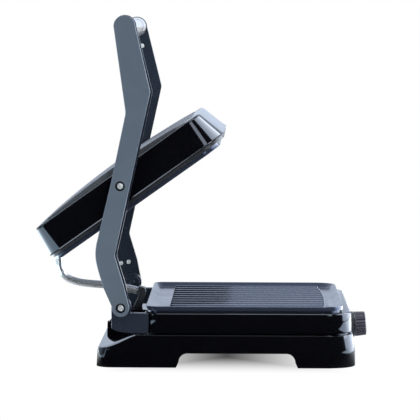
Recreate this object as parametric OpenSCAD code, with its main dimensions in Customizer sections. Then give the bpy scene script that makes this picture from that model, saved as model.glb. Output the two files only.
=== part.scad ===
// Electric indoor grill with a lid that floats between two bent side arms.
// Frame: X across the width, the front faces -Y, +Z up, resting on Z = 0.
// The origin is the centre of the open grill's box, on the table.
// Side profiles are drawn as [u, z]: u runs forward from the hinge axis, z up.
// Millimetres.

/* [Lower housing] */
// How far the housing stands out past the tray at each side
housing_side = 3; // [2:0.5:10]
// How far the housing's foot stands out past the tray in front
housing_toe = 6; // [3:0.1:8]
// Depth from the hinge axis back to the rear edge on the table
housing_rear = 31; // [28:0.1:34]
// Height of the ledge that the tray stands on
deck_h = 40.4; // [36:0.1:44]
// Height of the housing at its rear edge
rear_edge_h = 24.2; // [22:0.1:30]
// Length of the sloping rear deck
deck_run = 52; // [44:1:54]
// Lean of the rear wall over its height
rear_lean = 2.3; // [0:0.1:4]
// Lean of the front wall over its height
front_lean = 3.6; // [0:0.1:5]
// Wall thickness of the housing
housing_wall = 2.5; // [2:0.1:3.5]
// Corner radius of the housing at the rear, seen from above
housing_rear_r = 20; // [12:1:26]
// Corner radius of the housing at the front, seen from above
housing_front_r = 32; // [20:1:34]

/* [Feet] */
// Clear height under the housing between the feet
arch_h = 18.6; // [12:0.1:20]
// Length of a rear foot on the table
rear_foot_l = 96; // [70:0.5:100]
// Length of a front foot on the table, with its rounded toe
front_foot_l = 69.4; // [50:0.1:80]
// Lean of the arch sides
arch_lean = 4; // [0:0.5:8]
// Radius of the arch's upper corners
arch_r = 11; // [6:0.5:15]
// Radius of the rounded toe under the front face
toe_r = 10; // [6:0.5:12]
// Width of a foot across the grill
foot_w = 48; // [36:1:60]
// Radius of a rubber foot pad
pad_r = 8; // [6:0.5:12]
// Height of a rubber foot pad below the moulded foot
pad_h = 1.2; // [0.8:0.1:2.5]
// Depth of the pocket that a foot pad is glued into
pad_pocket = 1.5; // [1:0.1:3]

/* [Tray] */
// How far the tray stands out past the plate at each side
tray_side = 4; // [3:0.5:8]
// Gap in height between the housing's ledge and the tray's side
groove_h = 1.5; // [1:0.1:3]
// Height of the tray's side
tray_h = 25; // [22:0.1:28]
// How far the tray's front leans over its height
tray_lean = 1.6; // [0:0.1:3]
// Wall thickness of the tray
tray_wall = 2.5; // [2:0.1:3.5]
// How far the tray stands out past the plate behind
tray_rear_margin = 1.8; // [1:0.1:3]
// How far the tray stands out past the plate in front
tray_front_margin = 9.7; // [6:0.1:12]
// Corner radius of the tray at the rear
tray_rear_r = 17; // [12:1:24]
// Corner radius of the tray at the front
tray_front_r = 30; // [20:1:32]

/* [Plates] */
// Width of each cooking plate
plate_w = 296; // [286:1:300]
// Depth of each cooking plate
plate_d = 239; // [232:1:244]
// Distance from the hinge axis forward to the lower plate
plate_start = 28.9; // [27:0.1:36]
// Corner radius of a plate at the rear
plate_rear_r = 13; // [9:1:18]
// Corner radius of a plate at the front
plate_front_r = 26; // [20:1:28]
// Height of a plate's rim above its flange
rim_h = 7.8; // [7.4:0.1:9]
// Height of the lip round the rim
rim_lip_h = 4.9; // [4:0.1:5.2]
// How far the rim's neck is set in under the lip
rim_neck = 3; // [1:0.1:4]
// Thickness of the rim at its top
rim_t = 3; // [2.4:0.1:4]
// Slope of the plate from the rim down to the cooking floor
rim_slope = 7; // [5:0.5:10]
// Depth of the cooking floor under the rim's top
floor_drop = 5.4; // [4.5:0.1:6.5]
// Thickness of the cooking floor
floor_t = 3.4; // [2.8:0.1:4.5]
// Height of a rib above the cooking floor
rib_h = 2.6; // [1.8:0.1:3.2]
// Width of a rib at its foot
rib_w = 11; // [8:0.5:14]
// Width of a rib at its top
rib_top_w = 6; // [4:0.5:8]
// Distance from rib to rib
rib_pitch = 25; // [20:0.5:28]
// Number of ribs on a plate
rib_count = 11; // [9:2:11]
// Flat floor behind the ribs
rib_rear_gap = 27; // [20:1:34]
// Flat floor in front of the middle rib
rib_front_gap = 17; // [15:1:30]
// How much further the middle ribs reach forward than the outer ones
rib_bow = 6; // [0:0.5:10]
// Gap between the two rims when the lid is shut
shut_gap = 2.5; // [1.5:0.1:5]

/* [Heating] */
// Diameter of the tubular heating element
element_d = 6.5; // [5:0.5:8]
// Length of the element's straight legs
element_leg = 150; // [110:5:170]
// Distance between the element's legs
element_gap = 120; // [90:5:140]
// Thickness of the steel reflectors
reflector_t = 0.8; // [0.6:0.1:1.2]
// Distance from the element down to its reflector
reflector_gap = 3; // [2:0.5:4]

/* [Arms] */
// Gap between the housing's side and an arm
arm_gap = 2.5; // [2:0.1:6]
// Thickness of an arm's inner frame
frame_t = 7; // [5:0.1:9]
// Thickness of an arm's outer cover
cover_t = 7; // [5:0.1:9]
// Radius of an arm's end at the hinge
arm_foot_r = 11; // [10:0.1:13]
// Radius of an arm's end at the handle
arm_top_r = 13.4; // [12:0.1:15]
// How far the frame shows in front of the cover
rebate_w = 2.2; // [2:0.1:6]
// Height of the hinge axis above the table
hinge_h = 74.4; // [70:0.1:78]
// Forward place of the handle's axis
handle_u = 4.8; // [0:0.1:12]
// Height of the handle's axis above the hinge
handle_v = 337.7; // [325:1:350]
// Diameter of the handle tube
handle_d = 20; // [15:0.5:22]
// Wall of the handle tube
handle_wall = 1.5; // [1:0.1:3]
// How deep the handle tube sits in each arm frame
handle_seat = 4; // [3:0.5:6]

/* [Hinges] */
// Radius of an arm's hub in its bracket
hub_r = 7; // [6:0.1:8]
// Running clearance round hubs and journals
run_clear = 0.06; // [0.03:0.01:0.1]
// Side clearance between turning faces
side_clear = 0.5; // [0.3:0.1:1]
// Thickness of a hinge bracket
bracket_t = 13; // [10:0.5:16]
// How far a bracket stands in from the housing's side
bracket_margin = 1; // [0:0.5:3]
// Radius of the bracket round the hinge axis
bracket_r = 12; // [10:0.1:14]
// How far a bracket reaches back from the hinge axis
bracket_rear = 12; // [12:0.5:16]
// Radius of a screw's shank
screw_r = 2; // [1.5:0.1:2.5]
// Radius of a screw's head
screw_head_r = 4; // [3.5:0.1:4.5]
// Height of a screw's head
screw_head_h = 2.4; // [1.8:0.1:3]
// Radius of the recess round a screw's head
recess_r = 5.9; // [5:0.1:6.5]
// Radius of a lid journal
journal_r = 3.2; // [3:0.1:3.6]
// How far a journal's collar stands out
journal_collar = 1.8; // [1.4:0.1:2.4]

/* [Lid] */
// How far the lid's housing stands out past the plate at each side
lid_side = 6; // [5:0.1:6.5]
// How far the lid leans back when open, from flat
lid_tilt = 35.4; // [25:0.1:40]
// Height of the lid's pivot above the hinge, lid open
pivot_v = 146.8; // [140:0.1:150]
// Lid pivot ahead of the hinge, lid open
pivot_u = -0.8; // [-4:0.1:4]
// How far the lid's housing stands out past the plate at the rear
lid_rear_margin = 5.5; // [4:0.1:6.5]
// How far the lid's housing stands out past the plate in front
lid_front_margin = 11.8; // [8:0.1:13]
// Lean of the lid's rear wall over its height
lid_rear_lean = 4; // [1:0.1:6]
// Lean of the lid's front wall over its height
lid_front_lean = 13.4; // [8:0.1:16]
// Height of the lid's side wall
lid_side_h = 37.4; // [34:0.1:40]
// Height of the lid's top edge above the pivot
lid_top_v = 16.6; // [13:0.1:18]
// Height that the top panel's crown adds
crown_h = 5.4; // [3:0.1:7]
// Wall thickness of the lid's housing
lid_wall = 2.6; // [2:0.1:3.5]
// Corner radius of the lid at the rear
lid_rear_r = 17; // [12:1:24]
// Corner radius of the lid at the front
lid_front_r = 32; // [24:1:38]
// Height of the dark skirt under the lid's housing
skirt_h = 4.2; // [3.5:0.1:8]
// How far the skirt is set in
skirt_inset = 2; // [1:0.1:4]
// Margin between the lid's outline and its top panel
panel_margin = 9; // [6:0.5:12]
// Thickness of the top panel's sheet
panel_t = 1.2; // [0.8:0.1:2]

/* [Knob] */
// Radius of the knob's grip
knob_r = 15.6; // [13:0.1:17]
// Depth of the knob's grip
knob_l = 14.2; // [11:0.1:16]
// Radius of the fixed ring behind the knob
bezel_r = 16.4; // [15:0.1:18]
// Depth of the fixed ring
bezel_l = 4.6; // [3:0.1:6]
// Height of the knob's axis where it leaves the housing
knob_z = 36.8; // [34:0.1:40]
// How far the knob's round pad stands proud of the leaning front wall
knob_proud = 2.2; // [1.8:0.1:3]
// Gap between the fixed ring and the grip
knob_gap = 0.5; // [0.3:0.1:1]
// Height of the pointer ridge on the grip's face
pointer_h = 0.6; // [0.4:0.1:1]
// Upward tilt of the knob's axis
knob_tilt = 4.3; // [0:0.1:6]
// Number of grip flutes round the knob
knob_flutes = 24; // [16:2:30]
// Radius of the thermostat's spindle
spindle_r = 3; // [2.5:0.1:3.5]

/* [Conduit] */
// Diameter of the steel cable conduit
conduit_d = 9.6; // [8:0.1:11]
// Half width of the cable housing at the rear
cable_box_hw = 34; // [28:1:40]

/* [Hidden] */

$fn = 64;
hull_fn = 32;
tiny = 0.01;
cut = 1;
// Gap left between two pieces that stand against each other
touch = 0.1;

// Colours
gloss_black = [0.03, 0.03, 0.04];
satin_black = [0.10, 0.11, 0.12];
slate = [0.33, 0.38, 0.43];
plate_grey = [0.27, 0.28, 0.33];
knob_grey = [0.16, 0.14, 0.18];
steel = [0.76, 0.76, 0.76];
bright = [0.90, 0.90, 0.91];
rubber = [0.07, 0.07, 0.07];

// Heights of the stack, from the table up
tray_z = deck_h + groove_h;
tray_top = tray_z + tray_h;
rim_top = tray_top + rim_h;
floor_top = rim_top - floor_drop;
floor_under = floor_top - floor_t;

// Widths across the grill
tray_w = plate_w + 2 * tray_side;
housing_w = tray_w + 2 * housing_side;
lid_w = plate_w + 2 * lid_side;
arm_in = housing_w / 2 + arm_gap;
frame_out = arm_in + frame_t;
cover_out = frame_out + cover_t;
bracket_out = housing_w / 2 - bracket_margin;
bracket_in = bracket_out - bracket_t;

// The lid's own frame has its origin on the pivot, t forward and m up
lid_edge_m = lid_top_v - lid_side_h;
skirt_m = lid_edge_m - skirt_h;
lip_gap = 0.3;
lid_rim_m = skirt_m - rim_lip_h - lip_gap;
rim_seat_m = lid_rim_m + rim_h;

// The shut grill: the arms turn until the two rims are shut_gap apart
arm_len = norm([pivot_u, pivot_v]);
shut_v = rim_top + shut_gap - lid_rim_m - hinge_h;
shut_u = sqrt(arm_len * arm_len - shut_v * shut_v);

// Forward places of plate, tray and lid
plate_rear_u = plate_start;
plate_front_u = plate_start + plate_d;
plate_u = plate_start + plate_d / 2;
plate_t = plate_u - shut_u;
tray_rear_u = plate_rear_u - tray_rear_margin;
tray_front_u = plate_front_u + tray_front_margin;
housing_front = tray_front_u + housing_toe;
lid_rear_t = plate_t - plate_d / 2 - lid_rear_margin;
lid_front_t = plate_t + plate_d / 2 + lid_front_margin;

// The open grill reaches from the lid's rear top corner to the knob's face
knob_rear_u = housing_front - front_lean * knob_z / deck_h + knob_proud;
knob_face_u = knob_rear_u + (bezel_l + knob_l + pointer_h) * cos(knob_tilt)
    + knob_r * sin(knob_tilt);
lid_corner = [lid_rear_t + lid_rear_lean, lid_top_v];
lid_back_u = pivot_u + lid_corner[0] * cos(lid_tilt) - lid_corner[1] * sin(lid_tilt);
hinge_y = (knob_face_u + lid_back_u) / 2;

// ---- shared shapes ----

function ease(s) = s * s * (3 - 2 * s);
deck_start = -housing_rear + rear_lean;
deck_points = concat([[deck_start, rear_edge_h]],
    [for (i = [1:8]) let (s = i / 8) [deck_start + deck_run * s,
        rear_edge_h + (deck_h - rear_edge_h) * ease(s)]]);
function deck_at(u) = lookup(u, deck_points);
// The part of the deck line between two places, with its own end points
function deck_line(u0, u1) = concat([[u0, deck_at(u0)]],
    [for (p = deck_points) if (p[0] > u0 && p[0] < u1) p], [[u1, deck_at(u1)]]);
function arc(c, r, a0, a1, n) =
    [for (i = [0:n]) c + r * [cos(a0 + (a1 - a0) * i / n), sin(a0 + (a1 - a0) * i / n)]];

// Puts a piece drawn about the hinge axis into the grill's own frame
module from_hinge() translate([0, hinge_y, 0]) children();

// Puts a piece drawn in the lid's own frame into place on the open grill
module on_lid() from_hinge()
    translate([0, -pivot_u, hinge_h + pivot_v]) rotate([-lid_tilt, 0, 0]) children();

// Extrudes a [u, z] profile across the grill from x0 to x1
module across(x0, x1) translate([x1, 0, 0]) rotate([90, 0, -90])
    linear_extrude(x1 - x0) children();

module both_sides() { children(); mirror([1, 0, 0]) children(); }

// Cylinder along X from x0 to x1, with its axis at [u, z]
module pin_x(x0, x1, r, u, z) translate([x0, -u, z]) rotate([0, 90, 0])
    cylinder(h = x1 - x0, r = r);

// An upright slab seen in plan from u0 at the rear to u1 at the front, round at its corners
module slab(z0, z1, w, u0, u1, rear_r, front_r) {
    hw = w / 2;
    h = z1 - z0;
    translate([0, 0, z0]) {
        linear_extrude(h) polygon([[-hw + rear_r, -u0], [hw - rear_r, -u0],
            [hw, -u0 - rear_r], [hw, -u1 + front_r], [hw - front_r, -u1],
            [-hw + front_r, -u1], [-hw, -u1 + front_r], [-hw, -u0 - rear_r]]);
        for (side = [-1, 1]) {
            translate([side * (hw - rear_r), -u0 - rear_r]) cylinder(h = h, r = rear_r);
            translate([side * (hw - front_r), -u1 + front_r]) cylinder(h = h, r = front_r);
        }
    }
}

// A slab that may lean in towards its top
module leaning_slab(z0, z1, w, u0, u1, rear_r, front_r, side_in, rear_in, front_in) {
    hull($fn = hull_fn) {
        slab(z0, z0 + tiny, w, u0, u1, rear_r, front_r, $fn = hull_fn);
        slab(z1 - tiny, z1, w - 2 * side_in, u0 + rear_in, u1 - front_in,
            rear_r, front_r, $fn = hull_fn);
    }
}

// ---- base ----

// Arch between a rear and a front foot
arch_u0 = -housing_rear + rear_foot_l;
arch_u1 = housing_front - front_foot_l;
module arch_profile() polygon(concat(
    [[arch_u1, -cut], [arch_u0, -cut]],
    arc([arch_u0 + arch_lean + arch_r, arch_h - arch_r], arch_r, 180, 90, 5),
    arc([arch_u1 - arch_lean - arch_r, arch_h - arch_r], arch_r, 90, 0, 5)));

// Outer side profile: rear wall, sloping deck, front wall and round toe
module housing_profile(shrink = 0) polygon(concat(
    [[-housing_rear + shrink, 0], [deck_start + shrink, rear_edge_h - shrink]],
    [for (p = deck_points) if (p[0] > deck_start + shrink) [p[0], p[1] - shrink]],
    [[housing_front - front_lean - shrink, deck_h - shrink],
        [housing_front - shrink, deck_h / 2]],
    arc([housing_front - toe_r - shrink, toe_r], toe_r, 0, -90, 5)));

// Seat of the bottom cover inside the shell
cover_sink = 0.4;
cover_seat = arch_h - cover_sink;
cover_plate = 2;
fit_gap = 0.15;
ledge_w = 7;

module shell_slab(z0, z1, inset) slab(z0, z1, housing_w - 2 * inset, deck_start + inset,
    housing_front - front_lean - inset, housing_rear_r - inset, housing_front_r - inset);

// A pad's place along its foot, as a share of the foot's length
rear_pad_at = 0.45;
front_pad_at = 0.5;
pad_places = [for (side = [-1, 1], u = [-housing_rear + rear_foot_l * rear_pad_at,
    housing_front - front_foot_l * front_pad_at]) [side * (housing_w - foot_w) / 2, u]];

module knob_axis() from_hinge() translate([0, -knob_rear_u, knob_z])
    rotate([90 - knob_tilt, 0, 0]) children();
knob_pad_t = 13;
knob_pad_r = bezel_r + 1;

// Screws that pull the tray down onto the cover
post_r = 4.5;
post_screw_r = 1.5;
post_screw_l = 12;
post_rear = 24;
post_front = 44;
post_places = [for (side = [-1, 1], u = [tray_rear_u + post_rear, tray_front_u - post_front])
    [side * (tray_w / 2 - ledge_w - post_r - 2), u]];

// Height of the shoulder that a cover screw's head bears on, deep in its foot
screw_seat = 12;

module lower_housing() color(gloss_black) {
    difference() {
        from_hinge() difference() {
            intersection() {
                across(-housing_w / 2, housing_w / 2) housing_profile();
                slab(pad_h, deck_h + cut, housing_w, -housing_rear, housing_front,
                    housing_rear_r, housing_front_r);
            }
            intersection() {
                across(-housing_w / 2, housing_w / 2) housing_profile(housing_wall);
                shell_slab(cover_seat, deck_h + cut, housing_wall);
            }
            slab(cover_seat, deck_h + cut, tray_w - 2 * ledge_w, tray_rear_u + ledge_w,
                tray_front_u - ledge_w, tray_rear_r - ledge_w, tray_front_r - ledge_w);
            across(-housing_w, housing_w) arch_profile();
            translate([-housing_w / 2 + foot_w, -housing_front - cut, -cut])
                cube([housing_w - 2 * foot_w, housing_front + housing_rear + 2 * cut,
                    arch_h + cut]);
            for (p = pad_places) translate([p[0], -p[1], 0])
                cylinder(h = pad_h + pad_pocket, r = pad_r);
            for (p = post_places) translate([p[0], -p[1], -cut]) {
                cylinder(h = screw_seat + cut, r = post_screw_r * 2 + 0.3);
                cylinder(h = cover_seat + 2 * cut, r = post_screw_r + 0.1);
            }
        }
        knob_axis() translate([0, 0, -knob_pad_t - cut])
            cylinder(h = 2 * knob_pad_t, r = spindle_r + 1);
        for (x = lens_x) lens(x, cut);
    }
    // Round pad behind the knob
    knob_axis() translate([0, 0, -knob_pad_t]) difference() {
        cylinder(h = knob_pad_t, r = knob_pad_r);
        translate([0, 0, -cut]) cylinder(h = knob_pad_t + 2 * cut, r = spindle_r + 1);
    }
}

// Cooling slots in the bottom cover, in two rows
slot_l = 70;
slot_w = 4;
slot_pitch = 14;
slot_row = 60;
slots_each_way = 4;
module bottom_cover() color(satin_black) difference() {
    from_hinge() difference() {
        shell_slab(cover_seat, cover_seat + cover_plate, housing_wall + fit_gap);
        for (p = post_places) translate([p[0], -p[1], 0])
            cylinder(h = deck_h, r = post_screw_r + 0.1);
        for (row = [-1, 1], i = [-slots_each_way:slots_each_way])
            translate([row * slot_row, -plate_u + i * slot_pitch, 0])
                linear_extrude(deck_h) square([slot_l, slot_w], center = true);
    }
    knob_axis() translate([0, 0, -knob_pad_t - 0.3])
        cylinder(h = 2 * knob_pad_t, r = knob_pad_r + 0.3);
}

module rubber_feet() color(rubber) from_hinge() for (p = pad_places)
    translate([p[0], -p[1], 0]) cylinder(h = pad_h + pad_pocket, r = pad_r);

module cover_screws() color(steel) from_hinge() for (p = post_places)
    translate([p[0], -p[1], screw_seat]) {
        translate([0, 0, -2]) cylinder(h = 2, r = post_screw_r * 2);
        cylinder(h = cover_seat + cover_plate + post_screw_l - screw_seat, r = post_screw_r);
    }

// The plate's flange rests this far in from its edge
plate_seat_inset = 9;
seat_rear_r = 6;
plinth_inset = 3;
tray_hollow = plinth_inset + tray_wall;
module tray() color(gloss_black) difference() {
    from_hinge() {
        difference() {
            union() {
                intersection() {
                    across(-tray_w / 2, tray_w / 2) polygon([[tray_rear_u, tray_z],
                        [tray_rear_u, tray_top], [tray_front_u, tray_top],
                        [tray_front_u + tray_lean, tray_z]]);
                    slab(tray_z - cut, tray_top + cut, tray_w, tray_rear_u,
                        tray_front_u + tray_lean, tray_rear_r, tray_front_r);
                }
                slab(deck_h, tray_z + cut, tray_w - 2 * plinth_inset, tray_rear_u + plinth_inset,
                    tray_front_u - plinth_inset, tray_rear_r - plinth_inset,
                    tray_front_r - plinth_inset);
            }
            slab(deck_h - cut, tray_top - tray_wall, tray_w - 2 * tray_hollow,
                tray_rear_u + tray_hollow, tray_front_u - tray_hollow,
                tray_rear_r - tray_hollow, tray_front_r - tray_hollow);
            slab(deck_h, tray_top + cut, plate_w - 2 * plate_seat_inset,
                plate_rear_u + plate_seat_inset, plate_front_u - plate_seat_inset,
                seat_rear_r, plate_front_r - plate_seat_inset);
        }
        for (p = post_places) translate([p[0], -p[1], cover_seat + cover_plate]) difference() {
            cylinder(h = floor_under - 0.6 - cover_seat - cover_plate, r = post_r);
            translate([0, 0, -cut]) cylinder(h = post_screw_l + 2 * cut, r = post_screw_r);
        }
    }
    // Room for the round pad and ring of the knob
    knob_axis() translate([0, 0, -knob_pad_t - 0.3])
        cylinder(h = 20, r = knob_pad_r + 0.3);
}

// Gap between the plate's lower step and the opening it drops into
seat_gap = 0.5;
floor_in = plate_seat_inset + seat_gap;

// A cooking plate with its rim's top at z = 0, centred on the plate's middle
module cooking_plate() {
    u0 = -plate_d / 2;
    u1 = plate_d / 2;
    difference() {
        union() {
            slab(-rim_lip_h, 0, plate_w, u0, u1, plate_rear_r, plate_front_r);
            slab(-rim_h, -rim_lip_h / 2, plate_w - 2 * rim_neck, u0 + rim_neck, u1 - rim_neck,
                plate_rear_r - rim_neck, plate_front_r - rim_neck);
            slab(-floor_drop - floor_t, -floor_drop, plate_w - 2 * floor_in, u0 + floor_in,
                u1 - floor_in, seat_rear_r - seat_gap, plate_front_r - floor_in);
        }
        leaning_slab(-floor_drop, cut, plate_w - 2 * rim_t - 2 * rim_slope,
            u0 + rim_t + rim_slope, u1 - rim_t - rim_slope, 3, plate_front_r - rim_t - rim_slope,
            -rim_slope, -rim_slope, -rim_slope);
    }
    for (i = [0:rib_count - 1]) {
        x = (i - (rib_count - 1) / 2) * rib_pitch;
        bow = rib_bow * pow(2 * x / plate_w, 2);
        translate([x, -u0 - rib_rear_gap, -floor_drop]) rotate([90, 0, 0])
            linear_extrude(plate_d - rib_rear_gap - rib_front_gap - bow)
                polygon([[-rib_w / 2, -1], [rib_w / 2, -1], [rib_w / 2, 0],
                    [rib_top_w / 2, rib_h], [-rib_top_w / 2, rib_h], [-rib_w / 2, 0]]);
    }
}

// A U-shaped element under a plate, its top touching z = 0
module element() {
    r = element_gap / 2;
    translate([(r - element_leg) / 2, 0, -element_d / 2]) {
        for (side = [-1, 1]) translate([0, side * r, 0]) rotate([0, 90, 0])
            cylinder(h = element_leg, d = element_d);
        rotate([0, 0, 90]) rotate_extrude(angle = 180) translate([r, 0]) circle(d = element_d);
    }
}

// A shallow steel pan that throws the heat back to the plate, rim at z = 0
reflector_depth = element_d + reflector_gap;
reflector_r = 10;
reflector_margin = 12;
module reflector() {
    w = plate_w - 2 * plate_seat_inset - 2 * reflector_margin;
    d = plate_d - 2 * plate_seat_inset - 2 * reflector_margin;
    difference() {
        slab(-reflector_depth, 0, w, -d / 2, d / 2, reflector_r, reflector_r);
        slab(reflector_t - reflector_depth, cut, w - 2 * reflector_t, -d / 2 + reflector_t,
            d / 2 - reflector_t, reflector_r - reflector_t, reflector_r - reflector_t);
    }
}

module lower_plate() color(plate_grey) from_hinge()
    translate([0, -plate_u, rim_top]) cooking_plate();

module lower_element() color(steel) from_hinge() translate([0, -plate_u, floor_under]) element();

module lower_reflector() color(steel) from_hinge()
    translate([0, -plate_u, floor_under]) reflector();

thermostat_size = [28, 21, 16];
thermostat_drop = 13;
module thermostat() color(satin_black) knob_axis() translate([0, 0, -knob_pad_t])
    mirror([0, 0, 1]) difference() {
        translate([-thermostat_size[0] / 2, -thermostat_drop, 0]) cube(thermostat_size);
        translate([0, 0, -cut]) cylinder(h = 12, r = spindle_r + run_clear);
    }

terminal_size = [32, 14, 9];
terminal_front = 22;
module terminal_block() color("white") from_hinge()
    translate([-terminal_size[0] / 2, -terminal_front, cover_seat + cover_plate])
        cube(terminal_size);

module knob_bezel() color(satin_black) knob_axis() difference() {
    cylinder(h = bezel_l, r1 = bezel_r, r2 = bezel_r - 0.6);
    translate([0, 0, -cut]) cylinder(h = bezel_l + 2 * cut, r = spindle_r + 1);
}

// Power and ready lamps beside the knob
lens_r = 3;
lens_l = 8;
lens_z = 26.6;
lens_x = [34, 46];
module lens(x, extra) from_hinge() translate([x, -housing_front + lens_l, lens_z])
    rotate([90, 0, 0]) translate([0, 0, -extra]) cylinder(h = lens_l + 0.4 + extra, r = lens_r);
module indicator_lenses() {
    color("red") lens(lens_x[0], 0);
    color("green") lens(lens_x[1], 0);
}

module bracket() difference() {
    union() {
        across(bracket_in, bracket_out) polygon(concat(
            deck_line(-bracket_rear, tray_rear_u - touch),
            [[tray_rear_u - touch, tray_top], [bracket_r - 1, tray_top],
                [bracket_r * 0.6, hinge_h], [-bracket_rear, hinge_h]]));
        pin_x(bracket_in, bracket_out, bracket_r, 0, hinge_h);
    }
    pin_x(bracket_in - cut, bracket_out + cut, hub_r + run_clear, 0, hinge_h);
}
module hinge_bracket_right() color(satin_black) from_hinge() bracket();
module hinge_bracket_left() color(satin_black) from_hinge() mirror([1, 0, 0]) bracket();

// Rear hump that takes the mains cord in and the wires from the conduit down
cable_box_top = 58;
cable_box_rear = deck_start + 5;
hump_edge = -2;
hump_slope = [14, 8];
module cable_housing() color(gloss_black) from_hinge() difference() {
    across(-cable_box_hw, cable_box_hw) polygon(concat(
        deck_line(cable_box_rear, tray_rear_u - touch),
        [[tray_rear_u - touch, cable_box_top], [hump_edge, cable_box_top],
            [hump_edge - hump_slope[0], cable_box_top - hump_slope[1]],
            [cable_box_rear + 0.3, cord_z + cord_bush_r + 2]]));
    cord_hole(cord_bush_l, cord_bush_r);
}

// Mains cord outlet in the rear of the hump
cord_z = 33.2;
cord_bush_r = 5.5;
cord_bore_r = 3.75;
cord_bush_l = 9;
module cord_hole(depth, r) translate([0, depth_y(depth), cord_z]) rotate([-90, 0, 0])
    cylinder(h = depth + 2 * cut, r = r);
function depth_y(depth) = -cable_box_rear - depth;

// ---- conduit ----

conduit_r = conduit_d / 2;
socket_end = [24, 1.2];
ball_r = 7.5;
ball_tm = [lid_rear_t + 1.1, -10.5];
// The conduit's end at the lid, open and shut
lid_end = [pivot_u + ball_tm[0] * cos(lid_tilt) - ball_tm[1] * sin(lid_tilt),
    pivot_v + ball_tm[0] * sin(lid_tilt) + ball_tm[1] * cos(lid_tilt)];
shut_end = [shut_u + ball_tm[0], shut_v + ball_tm[1]];
// The conduit bends about a point that is as far from both ends
bend_u = -47;
end_move = shut_end - lid_end;
bend_v = ((shut_end * shut_end - lid_end * lid_end) / 2 - end_move[0] * bend_u) / end_move[1];
bend = [bend_u, bend_v];

function catmull(a, b, c, d, s) = 0.5 * (2 * b + (c - a) * s + (2 * a - 5 * b + 4 * c - d) * s * s
    + (3 * b - a - 3 * c + d) * s * s * s);
conduit_points = [socket_end, [-0.6, 7.2], [-24, 10.9], bend, [-63, 14.9],
    [-77.6, 20.8], [-85.2, 32.4], [-87, 47], lid_end];
conduit_last = len(conduit_points) - 1;
conduit_steps = 4;
function route_point(i) = let (k = min(floor(i / conduit_steps), conduit_last - 1),
    s = i / conduit_steps - k, p = conduit_points)
    catmull(p[max(k - 1, 0)], p[k], p[k + 1], p[min(k + 2, conduit_last)], s);
bend_step = 3 * conduit_steps;

// A round tube along the route, from step i0 to step i1
conduit_sides = 12;
module conduit_tube(i0, i1) {
    rings = i1 - i0;
    points = [for (i = [i0:i1], j = [0:conduit_sides - 1])
        let (p = route_point(i), d = route_point(min(i + 0.2, conduit_last * conduit_steps))
            - route_point(max(i - 0.2, 0)), n = [-d[1], d[0]] / norm(d),
            a = 360 * j / conduit_sides, q = p + conduit_r * cos(a) * n)
        [conduit_r * sin(a), -q[0], hinge_h + q[1]]];
    side_faces = [for (i = [0:rings - 1], j = [0:conduit_sides - 1])
        let (a = i * conduit_sides + j, b = i * conduit_sides + (j + 1) % conduit_sides)
        [a, b, b + conduit_sides, a + conduit_sides]];
    end_faces = [[for (j = [conduit_sides - 1:-1:0]) j],
        [for (j = [0:conduit_sides - 1]) rings * conduit_sides + j]];
    polyhedron(points, concat(side_faces, end_faces));
}
module conduit_fixed() color(steel) from_hinge() conduit_tube(1, bend_step);
module conduit_loop() color(steel) from_hinge()
    conduit_tube(bend_step, conduit_last * conduit_steps - 2);

// Socket on the cable housing that holds the conduit's lower end
socket_hw = 9;
socket_depth = 6;
socket_wall = 4;
module conduit_socket() color(satin_black) from_hinge() {
    end = route_point(1);
    run = route_point(1.5) - route_point(0.5);
    mouth_z = hinge_h + end[1];
    difference() {
        across(-socket_hw, socket_hw) polygon([[end[0] - 2 * socket_depth, cable_box_top],
            [end[0] - 1, cable_box_top], [end[0] + socket_wall, mouth_z],
            [end[0] + socket_wall - 1, mouth_z + conduit_r + 1],
            [end[0] - socket_depth + 1, mouth_z + conduit_r + 3],
            [end[0] - socket_depth, mouth_z - conduit_r - 2]]);
        translate([0, -end[0], hinge_h + end[1]]) rotate([atan2(run[0], run[1]), 0, 0])
            translate([0, 0, -0.3]) cylinder(h = 2 * socket_depth, r = conduit_r + 0.2);
    }
}

module cord_bushing() color(rubber) from_hinge()
    translate([0, depth_y(cord_bush_l), cord_z]) rotate([-90, 0, 0]) difference() {
        cylinder(h = cord_bush_l + 0.6, r = cord_bush_r);
        translate([0, 0, -cut]) cylinder(h = cord_bush_l + 3 * cut, r = cord_bore_r);
    }

// ---- knob ----

pointer_w = 3;
flute_r = 1.1;
spindle_in_knob = 8;
spindle_in_body = 10;
module knob() color(knob_grey) knob_axis() translate([0, 0, bezel_l + knob_gap])
    difference() {
        union() {
            cylinder(h = knob_l, r = knob_r);
            translate([-pointer_w / 2, -knob_r + pointer_w, knob_l - cut])
                cube([pointer_w, 2 * (knob_r - pointer_w), cut + pointer_h]);
        }
        for (i = [0:knob_flutes - 1]) rotate([0, 0, (i + 0.5) * 360 / knob_flutes])
            translate([knob_r + 0.4, 0, 2]) cylinder(h = knob_l, r = flute_r, $fn = 24);
        translate([0, 0, -cut]) cylinder(h = spindle_in_knob + 2 * cut, r = spindle_r);
    }
module thermostat_spindle() color(steel) knob_axis()
    translate([0, 0, -knob_pad_t - spindle_in_body])
        cylinder(h = knob_pad_t + spindle_in_body + bezel_l + knob_gap + spindle_in_knob,
            r = spindle_r);

// ---- arms ----

// Edges of an arm above the hinge axis, as [forward, up], from the hinge to the handle
arm_rear_edge = [[-20.6, 24.6], [-28.6, 51], [-30.8, 65.5], [-28.9, 78], [-11.4, 151.5],
    [5.9, 234.5]];
arm_front_edge = [[37.6, 259.5], [-5.1, 63.6], [5.4, 29.2]];
arm_heel = [10.8, 4];
arm_toe = [-10.9, -1.5];

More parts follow.
